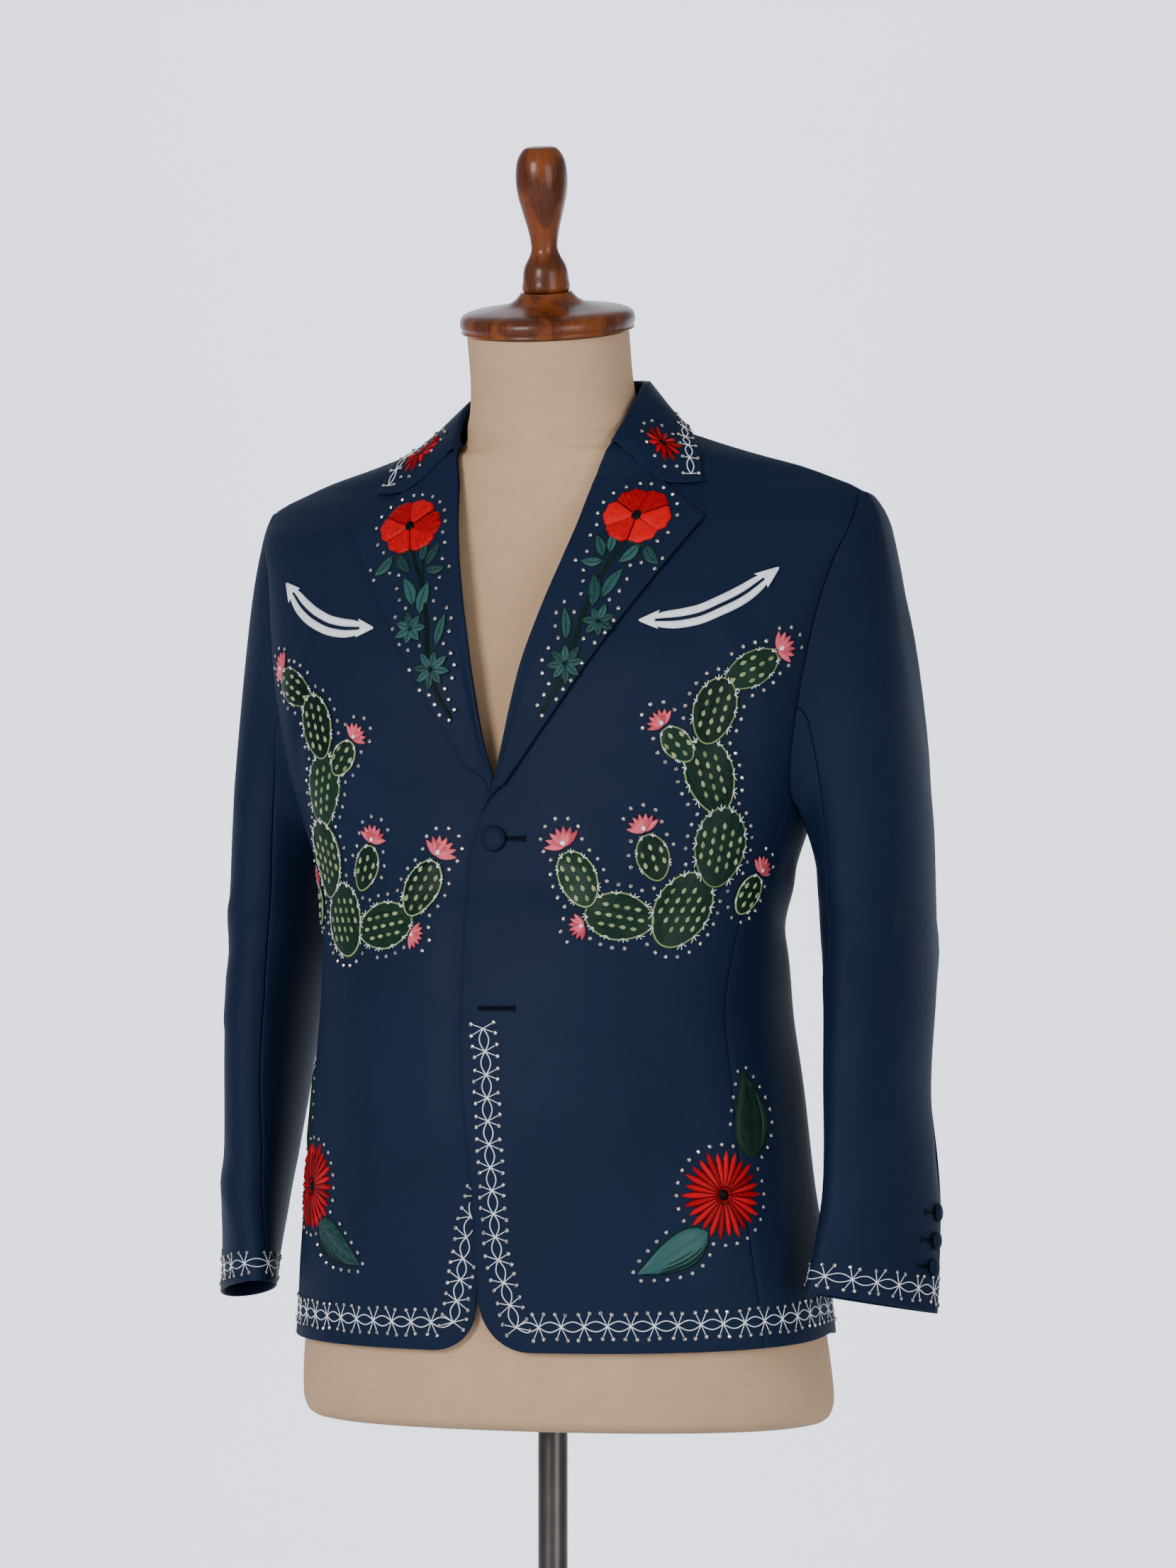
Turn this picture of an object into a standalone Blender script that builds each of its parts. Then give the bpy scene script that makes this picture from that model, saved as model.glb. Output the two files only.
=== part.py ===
"""An embroidered western suit jacket on a limbless dress form.

Metres, +Z up. The front of the jacket faces -Y and the wearer's left is +X. The origin is the
centre of the underside of the round base.
"""

import math

import bpy
import numpy as np

# Driving dimensions
CLOTH = 0.0022  # worsted with its canvas
SEAM = 0.0003  # clear space between two pieces
COLLECTION = "western_jacket_on_form"

HEM_FRONT = 0.7575
HEM_SIDE = 0.7680
HEM_BACK = 0.7640
ARMHOLE_TOP = 1.4070
ARMHOLE_BOTTOM = 1.1650
ARMHOLE_FRONT_DEG = 19.0  # how far the armhole reaches round the body from its side
ARMHOLE_BACK_DEG = 33.0
ARMHOLE_ROUNDING = 0.6
SEAM_MEETS_ARMHOLE = 1.1750

BUTTON_RADIUS = 0.0098
BUTTON_HEIGHT = 0.0052
BUTTON_Z = 1.1420
BUTTON_LIFT = 0.0007
CUFF_BUTTON_RADIUS = 0.0072
CUFF_BUTTON_HEIGHT = 0.0042
# Height of each cuff button, and the lift that clears the sleeve's flat facets by a hair.
CUFF_BUTTON_ROWS = ((0.8240, 0.0005), (0.8430, 0.0004), (0.8620, -0.0002))
CUFF_BUTTON_DEG = -41.0

POCKET_BAND = 0.0060
POCKET_SLIT = 0.0030
POCKET_RAISE = 0.0014
ARROW_LENGTH = 0.0165
ARROW_WIDTH = 0.0150

NECK_RADIUS = 0.0624
NECK_LEAN_DEG = 12.5
HEAD_TILT_DEG = 14.0
HEAD_TURN_DEG = 12.0
NECK_TOP_Y = -0.0100
NECK_TOP_Z = 1.5345
POLE_RADIUS = 0.0115
BASE_RADIUS = 0.1650
FORM_BOTTOM = 0.6960

# The jacket's outer surface: one closed ring at each height.
BODY_COLUMNS = ("height", "half_width", "side_y", "front_y", "back_y", "front_square", "back_square")
BODY_ROWS = (
    (0.740, 0.2170, 0.030, -0.1230, 0.1420, 2.3, 2.3),
    (0.772, 0.2140, 0.030, -0.1245, 0.1400, 2.3, 2.3),
    (0.826, 0.2070, 0.026, -0.1290, 0.1360, 2.4, 2.4),
    (0.878, 0.2000, 0.018, -0.1335, 0.1310, 2.4, 2.4),
    (0.941, 0.1940, 0.016, -0.1375, 0.1220, 2.3, 2.4),
    (1.027, 0.1840, 0.016, -0.1360, 0.1080, 2.4, 2.4),
    (1.082, 0.1820, 0.010, -0.1290, 0.1040, 2.4, 2.4),
    (1.112, 0.1870, 0.008, -0.1215, 0.1060, 2.3, 2.4),
    (1.162, 0.2020, 0.008, -0.1160, 0.1160, 2.5, 2.5),
    (1.210, 0.2150, 0.009, -0.1175, 0.1240, 2.6, 2.6),
    (1.260, 0.2260, 0.012, -0.1140, 0.1300, 2.6, 2.6),
    (1.310, 0.2350, 0.014, -0.1000, 0.1320, 2.5, 2.6),
    (1.350, 0.2430, 0.016, -0.0830, 0.1270, 2.3, 2.6),
    (1.383, 0.2510, 0.018, -0.0680, 0.1200, 2.0, 2.5),
    (1.396, 0.2500, 0.020, -0.0640, 0.1165, 1.65, 2.4),
    (1.407, 0.2430, 0.020, -0.0620, 0.1130, 1.4, 2.3),
    (1.418, 0.2190, 0.020, -0.0615, 0.1085, 1.25, 2.2),
    (1.4275, 0.1940, 0.020, -0.0605, 0.1045, 1.25, 2.2),
    (1.435, 0.1680, 0.020, -0.0595, 0.1015, 1.3, 2.2),
    (1.443, 0.1420, 0.020, -0.0550, 0.0985, 1.3, 2.2),
    (1.4515, 0.1170, 0.020, -0.0330, 0.0960, 1.35, 2.2),
    (1.461, 0.0920, 0.020, -0.0110, 0.0930, 1.4, 2.2),
    (1.472, 0.0800, 0.020, -0.0010, 0.0900, 1.5, 2.2),
)

# The sleeve's rings below the armhole, from the shoulder to the cuff, in the wearer's left sleeve.
SLEEVE_COLUMNS = (
    "mid_x", "mid_y", "mid_z", "half_width", "half_rise", "half_depth", "twist_deg", "front_rise"
)
SLEEVE_ROWS = (
    (0.2285, 0.032, 1.2825, 0.0240, 0.1215, 0.0620, 0, 0.0),
    (0.2320, 0.034, 1.2645, 0.0280, 0.1105, 0.0660, 0, 0.0),
    (0.2353, 0.038, 1.2405, 0.0313, 0.0945, 0.0690, 0, 0.0),
    (0.2383, 0.042, 1.2135, 0.0338, 0.0765, 0.0720, 0, 0.0),
    (0.2408, 0.046, 1.1860, 0.0358, 0.0590, 0.0750, 0, 0.0),
    (0.2430, 0.050, 1.1570, 0.0375, 0.0430, 0.0770, 0, 0.0),
    (0.2450, 0.0525, 1.1225, 0.0390, 0.0275, 0.0780, 0, 0.0),
    (0.2475, 0.050, 1.0800, 0.0385, 0.0100, 0.0765, 1, 0.0),
    (0.2523, 0.0391, 1.0270, 0.0350, 0.0, 0.0720, 5, 0.0),
    (0.2544, 0.0265, 0.9550, 0.0305, 0.0, 0.0670, 9, 0.0),
    (0.2580, 0.0235, 0.9050, 0.0285, 0.0, 0.0650, 15, 0.001),
    (0.2605, 0.0170, 0.8650, 0.0270, 0.0, 0.0645, 20, 0.003),
    (0.2598, 0.0080, 0.8250, 0.0235, 0.0, 0.0630, 27, 0.007),
    (0.2586, -0.0010, 0.7930, 0.0210, 0.0, 0.0620, 33, 0.010),
)
ARMHOLE_MIDDLE_Y = 0.027
SLEEVE_EVEN_ROW = 6
SLEEVE_FRONT_SEAM_DEG = 118.0
SLEEVE_BACK_SEAM_TOP_DEG = -72.0
SLEEVE_BACK_SEAM_CUFF_DEG = -52.0

# Front edge of each front, measured from the centre line toward its own side.
EDGE_COLUMNS = ("height", "left_x", "right_x")
EDGE_ROWS = (
    (0.760, -0.0096, 0.0125),
    (0.800, -0.0098, 0.0118),
    (0.850, -0.0110, 0.0020),
    (0.920, -0.0150, -0.0110),
    (0.980, -0.0195, -0.0170),
    (1.070, -0.0195, -0.0185),
    (1.125, -0.0200, -0.0190),
    (1.155, -0.0130, -0.0130),
    (1.190, 0.0030, 0.0030),
    (1.279, 0.0241, 0.0241),
    (1.374, 0.0492, 0.0492),
    (1.4436, 0.0647, 0.0647),
    (1.4525, 0.0730, 0.0730),
    (1.461, 0.0820, 0.0820),
)
CORNER_RADIUS = {"left": 0.040, "right": 0.036}

# The lapel's outer edge, from the roll end up to its point.
LAPEL_COLUMNS = ("left_x", "left_z", "right_x", "right_z")
LAPEL_ROWS = (
    (-0.0085, 1.1600, 0.0160, 1.1770),
    (0.0190, 1.1960, 0.0290, 1.2060),
    (0.0500, 1.2390, 0.0530, 1.2420),
    (0.0853, 1.2920, 0.0853, 1.2920),
    (0.1212, 1.3470, 0.1212, 1.3470),
    (0.1440, 1.3830, 0.1440, 1.3830),
)
LAPEL_FOOT_Z = {"left": 1.1570, "right": 1.1810}
GORGE_Z = 1.4436
NOTCH_X = 0.1115
NOTCH_Z = 1.4115

# The collar from its front end round to the centre back: seam of the stand, fold, outer edge.
COLLAR_COLUMNS = (
    "along", "seam_x", "seam_y", "seam_z", "fold_x", "fold_y", "fold_z", "edge_x", "edge_y", "edge_z"
)
COLLAR_ROWS = (
    (0.00, 0.0600, -0.0310, 1.4465, 0.0650, -0.0390, 1.4535, 0.1355, -0.0250, 1.4240),
    (0.25, 0.0780, -0.0060, 1.4600, 0.0710, -0.0080, 1.4770, 0.1160, 0.0020, 1.4480),
    (0.50, 0.0795, 0.0290, 1.4655, 0.0670, 0.0280, 1.4960, 0.0985, 0.0320, 1.4600),
    (0.75, 0.0610, 0.0690, 1.4660, 0.0500, 0.0640, 1.5020, 0.0710, 0.0885, 1.4600),
    (1.00, 0.0000, 0.0860, 1.4660, 0.0000, 0.0790, 1.5050, 0.0000, 0.1075, 1.4590),
)

# The smile pocket's middle line on the wearer's left front.
POCKET_COLUMNS = ("middle_x", "middle_z")
POCKET_ROWS = (
    (0.1190, 1.3040),
    (0.1330, 1.3045),
    (0.1480, 1.3070),
    (0.1650, 1.3140),
    (0.1800, 1.3235),
    (0.1935, 1.3360),
)

# The form under the jacket, closed over the shoulders and drawn in to the neck, with the same
# columns as the jacket's rings.
FORM_ROWS = (
    (0.696, 0.1940, 0.032, -0.0920, 0.1270, 2.2, 2.2),
    (0.698, 0.2030, 0.032, -0.1000, 0.1350, 2.2, 2.2),
    (0.704, 0.2100, 0.032, -0.1060, 0.1410, 2.2, 2.2),
    (0.715, 0.2130, 0.032, -0.1090, 0.1430, 2.2, 2.2),
    (0.740, 0.2105, 0.031, -0.1120, 0.1390, 2.3, 2.3),
    (0.790, 0.2030, 0.028, -0.1150, 0.1310, 2.4, 2.4),
    (0.850, 0.1945, 0.022, -0.1180, 0.1240, 2.4, 2.4),
    (0.930, 0.1850, 0.016, -0.1180, 0.1120, 2.4, 2.4),
    (1.030, 0.1740, 0.014, -0.1150, 0.0980, 2.4, 2.4),
    (1.090, 0.1730, 0.010, -0.1080, 0.0950, 2.4, 2.4),
    (1.160, 0.1870, 0.008, -0.1030, 0.1040, 2.5, 2.5),
    (1.230, 0.2000, 0.010, -0.1010, 0.1140, 2.5, 2.5),
    (1.290, 0.2080, 0.013, -0.0900, 0.1200, 2.5, 2.5),
    (1.340, 0.2130, 0.016, -0.0720, 0.1180, 2.3, 2.5),
    (1.375, 0.2140, 0.018, -0.0600, 0.1130, 2.0, 2.4),
    (1.397, 0.2080, 0.020, -0.0560, 0.1080, 1.6, 2.3),
    (1.4095, 0.1980, 0.020, -0.0560, 0.1050, 1.4, 2.2),
    (1.420, 0.1850, 0.020, -0.0560, 0.1010, 1.3, 2.1),
    (1.430, 0.1650, 0.020, -0.0570, 0.0970, 1.25, 2.1),
    (1.438, 0.1360, 0.020, -0.0580, 0.0940, 1.3, 2.1),
    (1.4450, 0.0900, 0.018, -0.0590, 0.0900, 1.40, 2.1),
    (1.4525, 0.0695, 0.012, -0.0585, 0.0860, 1.95, 2.0),
)

FINIAL_PROFILE = (
    (0.0, 0.1100), (0.0104, 0.1096), (0.0150, 0.1060), (0.0186, 0.0985), (0.0199, 0.0865),
    (0.0188, 0.0735), (0.0152, 0.0590), (0.0115, 0.0445), (0.0102, 0.0330), (0.0122, 0.0265),
    (0.0162, 0.0185), (0.0176, 0.0090), (0.0170, 0.0), (0.0, 0.0),
)
PLATE_PROFILE = (
    (0.0, 0.0305), (0.0180, 0.0305), (0.0205, 0.0290), (0.0245, 0.0250), (0.0310, 0.0215),
    (0.0450, 0.0190), (0.0590, 0.0168), (0.0655, 0.0140), (0.0675, 0.0090), (0.0662, 0.0040),
    (0.0600, 0.0), (0.0, 0.0),
)
BASE_PROFILE = (
    (0.0, 0.0440), (0.0240, 0.0440), (0.0280, 0.0400), (0.0300, 0.0220),
    (0.1540, 0.0130), (BASE_RADIUS, 0.0080), (BASE_RADIUS, 0.0), (0.0, 0.0),
)

# Colour, roughness and metallic value of each material.
FINISHES = {
    "navy_worsted": ((0.014, 0.026, 0.062), 0.72, 0.0),
    "white_satin": ((0.78, 0.79, 0.84), 0.38, 0.0),
    "beige_cover": ((0.54, 0.39, 0.28), 0.85, 0.0),
    "red_brown_wood": ((0.16, 0.035, 0.010), 0.18, 0.0),
    "dark_metal": ((0.055, 0.050, 0.046), 0.32, 1.0),
}


def column(rows, names, name):
    return np.array([row[names.index(name)] for row in rows], float)


def smooth(at, knots, values):
    """A monotone cubic through the knots, so that a table of sections never overshoots."""
    at = np.clip(at, knots[0], knots[-1])
    step = np.diff(knots)
    rise = np.diff(values) / step
    slope = np.zeros(len(knots))
    slope[0] = rise[0]
    slope[-1] = rise[-1]
    for i in range(1, len(knots) - 1):
        if rise[i - 1] * rise[i] > 0:
            slope[i] = 2 * rise[i - 1] * rise[i] / (rise[i - 1] + rise[i])
    i = np.clip(np.searchsorted(knots, at, side="right") - 1, 0, len(step) - 1)
    h = step[i]
    u = (at - knots[i]) / h
    return (
        values[i] * (1 + 2 * u) * (1 - u) ** 2
        + slope[i] * h * u * (1 - u) ** 2
        + values[i + 1] * u**2 * (3 - 2 * u)
        + slope[i + 1] * h * u**2 * (u - 1)
    )


def table_at(rows, names, key, at):
    """Every column of a table, smoothly read at one value of its key column."""
    knots = column(rows, names, key)
    order = np.argsort(knots)
    return {
        name: smooth(at, knots[order], column(rows, names, name)[order])
        for name in names
        if name != key
    }


def body(turn, height):
    """The jacket's outer surface. turn is 0 at the centre front, 90 degrees at the wearer's left."""
    turn, height = np.broadcast_arrays(np.asarray(turn, float), np.asarray(height, float))
    at = table_at(BODY_ROWS, BODY_COLUMNS, "height", height)
    s, c = np.sin(turn), np.cos(turn)
    ahead = c > 0
    power = 2 / np.where(ahead, at["front_square"], at["back_square"])
    depth = np.where(ahead, at["side_y"] - at["front_y"], at["back_y"] - at["side_y"])
    x = at["half_width"] * np.sign(s) * np.abs(s) ** power
    y = at["side_y"] - depth * np.sign(c) * np.abs(c) ** power
    return np.stack([x, y, height], -1)


def unit(vectors):
    return vectors / np.maximum(np.linalg.norm(vectors, axis=-1, keepdims=True), 1e-12)


def surface_normal(surface, u, v, du=1e-2, dv=1e-3):
    across = surface(u + du, v) - surface(u - du, v)
    up = surface(u, v + dv) - surface(u, v - dv)
    return unit(np.cross(across, up))


def turn_at_x(x, height):
    """The turn at which the front of the body's ring at this height reaches this x."""
    at = table_at(BODY_ROWS, BODY_COLUMNS, "height", np.asarray(height, float))
    share = np.clip(np.abs(x) / at["half_width"], 0, 1)
    return np.sign(x) * np.arcsin(share ** (at["front_square"] / 2))


def edge_x(side, height):
    knots = column(EDGE_ROWS, EDGE_COLUMNS, "height")
    return smooth(height, knots, column(EDGE_ROWS, EDGE_COLUMNS, side + "_x"))


def armhole_share(height):
    """How far round the armhole reaches at this height, as a share of its widest."""
    middle = (ARMHOLE_TOP + ARMHOLE_BOTTOM) / 2
    share = np.clip((height - middle) / (ARMHOLE_TOP - middle), -1, 1)
    return (1 - share**2) ** (ARMHOLE_ROUNDING / 2)


def seam_turn(height, low_deg, armhole_deg):
    """The turn of a front or back panel's side edge: its side seam, the armhole, the shoulder."""
    side = math.radians(90)
    hole = side + math.radians(armhole_deg) * armhole_share(height)
    joined = side + math.radians(armhole_deg) * armhole_share(np.asarray(SEAM_MEETS_ARMHOLE))
    rise = np.clip((height - 1.0) / (SEAM_MEETS_ARMHOLE - 1.0), 0, 1)
    low = math.radians(low_deg) + (joined - math.radians(low_deg)) * rise**2 * (3 - 2 * rise)
    return np.where(height < SEAM_MEETS_ARMHOLE, low, hole)


FRONT_SEAM_DEG = 61.0
BACK_SEAM_DEG = 125.0


def front_seam(height):
    return seam_turn(height, FRONT_SEAM_DEG, -ARMHOLE_FRONT_DEG)


def back_seam(height):
    return seam_turn(height, BACK_SEAM_DEG, ARMHOLE_BACK_DEG)


def hem_height(turn):
    """The hem rises a little from the front to the side and falls again to the back."""
    ahead = np.clip(np.cos(turn), 0, 1) ** 0.5
    behind = np.clip(-np.cos(turn), 0, 1) ** 0.5
    return HEM_SIDE + (HEM_FRONT - HEM_SIDE) * ahead + (HEM_BACK - HEM_SIDE) * behind


def quads(rows, columns, closed=False):
    last = columns if closed else columns - 1
    return [
        (i * columns + j, i * columns + (j + 1) % columns,
         (i + 1) * columns + (j + 1) % columns, (i + 1) * columns + j)
        for i in range(rows - 1)
        for j in range(last)
    ]


def rim(rows, columns):
    """The points round the border of a grid, in order."""
    return (
        [j for j in range(columns)]
        + [i * columns + columns - 1 for i in range(1, rows)]
        + [(rows - 1) * columns + j for j in range(columns - 2, -1, -1)]
        + [i * columns for i in range(rows - 2, 0, -1)]
    )


def make_object(name, points, faces, finish, smooth_shade=True):
    mesh = bpy.data.meshes.new(name)
    mesh.from_pydata([tuple(p) for p in points], [], faces)
    mesh.validate()
    if smooth_shade:
        mesh.shade_smooth()
        mesh.set_sharp_from_angle(angle=math.radians(50))
    mesh.materials.append(bpy.data.materials[finish])
    obj = bpy.data.objects.new(name, mesh)
    bpy.data.collections[COLLECTION].objects.link(obj)
    return obj


def wall(name, points, normals, outer, inner, finish="navy_worsted", mirrored=False):
    """A closed wall of cloth on a grid of points: rows up, columns toward the wearer's left."""
    rows, columns = points.shape[:2]
    outer = np.broadcast_to(np.asarray(outer, float), (rows, columns))[..., None]
    inner = np.broadcast_to(np.asarray(inner, float), (rows, columns))[..., None]
    both = np.concatenate([
        (points + normals * outer).reshape(-1, 3),
        (points + normals * inner).reshape(-1, 3),
    ])
    count = rows * columns
    faces = []
    for a, b, c, d in quads(rows, columns):
        # Both faces of the wall are split along the same diagonal, the shorter one.
        if np.linalg.norm(both[a] - both[c]) <= np.linalg.norm(both[b] - both[d]):
            halves = ((a, b, c), (a, c, d))
        else:
            halves = ((a, b, d), (b, c, d))
        faces += halves
        faces += [tuple(count + k for k in reversed(half)) for half in halves]
    border = rim(rows, columns)
    for a, b in zip(border, border[1:] + border[:1]):
        # Edge faces of two neighbours are split alike, so their seam keeps its even gap.
        if both[a][2] < both[b][2]:
            faces += [(b, a, count + b), (a, count + a, count + b)]
        else:
            faces += [(b, a, count + a), (b, count + a, count + b)]
    if mirrored:
        both = both * (-1, 1, 1)
        faces = [tuple(reversed(face)) for face in faces]
    return make_object(name, both, faces, finish)


def draw_in(points, *borders, by=SEAM / 2):
    """Moves the named borders of a grid inward by half the clear space of a seam."""
    points = points.copy()
    pairs = {
        "first_column": ((slice(None), 0), (slice(None), 1)),
        "last_column": ((slice(None), -1), (slice(None), -2)),
        "first_row": ((0, slice(None)), (1, slice(None))),
        "last_row": ((-1, slice(None)), (-2, slice(None))),
    }
    for border in borders:
        edge, inside = pairs[border]
        points[edge] += unit(points[inside] - points[edge]) * by
    return points


BODY_HEIGHTS = (
    0.800, 0.850, 0.905, 0.960, 1.015, 1.065, 1.110, 1.145, 1.175,
    1.205, 1.240, 1.275, 1.310, 1.340, 1.363, 1.380, 1.393, 1.4015, 1.407,
    1.418, 1.4275, 1.435, 1.443, 1.452, 1.461,
)
FRONT_SHARES = (0, 0.03, 0.08, 0.16, 0.27, 0.40, 0.53, 0.66, 0.78, 0.89, 1)
BACK_SHARES = (0, 0.13, 0.27, 0.42, 0.57, 0.72, 0.86, 1)
SIDE_SHARES = (0, 0.2, 0.4, 0.6, 0.8, 1)


def spread_turns(first, last, heights, shares):
    """Turns that divide each ring's arc between two ends in the given shares of its length."""
    fine = first[:, None] + (last - first)[:, None] * np.linspace(0, 1, 201)[None, :]
    points = body(fine, heights[:, None] + 0 * fine)
    step = np.linalg.norm(np.diff(points, axis=1), axis=-1)
    run = np.concatenate([np.zeros((len(heights), 1)), np.cumsum(step, axis=1)], axis=1)
    return np.array([np.interp(np.array(shares) * r[-1], r, f) for r, f in zip(run, fine)])


UNDERLAP_DEPTH = CLOTH + 2 * SEAM
UNDERLAP_FLAT = 0.024
UNDERLAP_ENDS = 0.050


def front_panel(side):
    """One front from its edge to the side seam, with the hem's corner cut away in a round."""
    mirrored = side == "right"
    heights = np.array((HEM_FRONT,) + BODY_HEIGHTS)
    shares = np.array(FRONT_SHARES)
    start = turn_at_x(edge_x(side, heights), heights)
    turn = spread_turns(start, front_seam(heights), heights, shares)
    height = np.repeat(heights[:, None], len(shares), axis=1)
    radius = CORNER_RADIUS[side]
    across = body(turn[0], height[0])[:, 0] - edge_x(side, heights[0])
    inside = np.clip(radius - across, 0, radius)
    height[0] = hem_height(turn[0]) + radius - np.sqrt(radius**2 - inside**2)
    points = body(turn, height)
    normals = surface_normal(body, turn, height)
    if mirrored:
        under = np.clip((UNDERLAP_ENDS - points[..., 0]) / (UNDERLAP_ENDS - UNDERLAP_FLAT), 0, 1)
        points = points - normals * (UNDERLAP_DEPTH * under**2 * (3 - 2 * under))[..., None]
    points = draw_in(points, "last_column")
    return wall("front_" + side, points, normals, 0, -CLOTH, mirrored=mirrored)


def side_top_turns():
    ends = front_seam(SEAM_MEETS_ARMHOLE - 1e-9), back_seam(SEAM_MEETS_ARMHOLE - 1e-9)
    return ends[0] + (ends[1] - ends[0]) * np.array(SIDE_SHARES)


def side_top_sine(turn):
    """The sine of the armhole's own angle at these turns along its foot."""
    off = turn - math.radians(90)
    reach = np.radians(np.where(off < 0, ARMHOLE_FRONT_DEG, ARMHOLE_BACK_DEG))
    return np.clip(np.abs(off) / reach, 0, 1) ** (1 / ARMHOLE_ROUNDING)


def side_panel(side):
    below = [h for h in BODY_HEIGHTS if h < SEAM_MEETS_ARMHOLE]
    heights = np.array([HEM_SIDE, *below, SEAM_MEETS_ARMHOLE])
    shares = np.array(SIDE_SHARES)
    first, last = front_seam(heights - 1e-9), back_seam(heights - 1e-9)
    turn = first[:, None] + (last - first)[:, None] * shares[None, :]
    height = np.repeat(heights[:, None], len(shares), axis=1)
    height[0] = hem_height(turn[0])
    middle = (ARMHOLE_TOP + ARMHOLE_BOTTOM) / 2
    height[-1] = middle - (ARMHOLE_TOP - middle) * np.sqrt(1 - side_top_sine(turn[-1]) ** 2)
    points = body(turn, height)
    normals = surface_normal(body, turn, height)
    points = draw_in(points, "first_column", "last_column", "last_row")
    return wall("side_" + side, points, normals, 0, -CLOTH, mirrored=side == "right")


def back_panel(side):
    heights = np.array((HEM_BACK,) + BODY_HEIGHTS)
    shares = np.array(BACK_SHARES)
    first = back_seam(heights)
    turn = spread_turns(first, np.full(len(heights), math.pi), heights, shares)
    height = np.repeat(heights[:, None], len(shares), axis=1)
    height[0] = hem_height(turn[0])
    points = body(turn, height)
    normals = surface_normal(body, turn, height)
    points = draw_in(points, "first_column", "last_column")
    return wall("back_" + side, points, normals, 0, -CLOTH, mirrored=side == "right")


LAPEL_LEVELS = (0.02, 0.1, 0.19, 0.28, 0.37, 0.46, 0.55, 0.64, 0.72, 0.79, 0.85, 0.9, 0.94, 0.97, 1)
LAPEL_SHARES = (0, 0.06, 0.15, 0.32, 0.54, 0.78, 1)
LAPEL_OVERHANG = 0.0016
LAPEL_CLEAR = 0.0009
LAPEL_ROLL_LIFT = 0.0034
LAPEL_ROLL_SHARE = 0.16
LAPEL_FOOT_GAP = 0.0060


def lapel_line(side, share):
    """The roll point and the outer point of the lapel at a share of its length."""
    knots = np.linspace(0, 1, len(LAPEL_ROWS))
    out_x = smooth(share, knots, column(LAPEL_ROWS, LAPEL_COLUMNS, side + "_x"))
    out_z = smooth(share, knots, column(LAPEL_ROWS, LAPEL_COLUMNS, side + "_z"))
    foot = LAPEL_FOOT_Z[side]
    roll_z = foot + (GORGE_Z - SEAM - foot) * share
    roll_x = edge_x("left", roll_z)
    if side == "right":
        # The left front lies over the foot of this lapel, so it stops short of that edge.
        roll_x = np.maximum(roll_x, LAPEL_FOOT_GAP - roll_x)
    return roll_x, roll_z, out_x, out_z


def lapel(side):
    """The turned-back front: a sheet on the front's own points, lifted where it rolls."""
    share = np.array(LAPEL_LEVELS)
    roll_x, roll_z, out_x, out_z = lapel_line(side, share)
    across = np.array(LAPEL_SHARES)[None, :]
    x = roll_x[:, None] + (out_x - roll_x)[:, None] * across
    z = roll_z[:, None] + (out_z - roll_z)[:, None] * across
    x[:, 0] -= LAPEL_OVERHANG
    turn = turn_at_x(x, z)
    points = body(turn, z)
    normals = surface_normal(body, turn, z)
    width = np.hypot(out_x - roll_x, out_z - roll_z)[:, None]
    high = LAPEL_ROLL_LIFT * np.clip(width / 0.03, 0, 1) * (1 - 0.7 * share[:, None] ** 4)
    lift = LAPEL_CLEAR + high * np.exp(-((across / LAPEL_ROLL_SHARE) ** 2))
    return wall("lapel_" + side, points, normals, lift + CLOTH, lift, mirrored=side == "right")


def body_height(x, y):
    """How high the body's outer surface is over a point of the shoulders."""
    low = np.full(np.shape(x), 1.20)
    high = np.full(np.shape(x), 1.472)
    for _ in range(40):
        middle = (low + high) / 2
        at = table_at(BODY_ROWS, BODY_COLUMNS, "height", middle)
        ahead = y < at["side_y"]
        depth = np.where(ahead, at["side_y"] - at["front_y"], at["back_y"] - at["side_y"])
        power = np.where(ahead, at["front_square"], at["back_square"])
        reach = np.abs(x / at["half_width"]) ** power + np.abs((y - at["side_y"]) / depth) ** power
        low = np.where(reach < 1, middle, low)
        high = np.where(reach < 1, high, middle)
    return (low + high) / 2


COLLAR_STEPS = 13
COLLAR_FALL_SHARES = (0.06, 0.16, 0.34, 0.55, 0.78, 1)
COLLAR_FOLD_HALF = 0.0022
COLLAR_CROWN = 0.0010
COLLAR_CLEAR = 0.0017
COLLAR_MIDDLE_CLEAR = 0.0030


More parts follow.
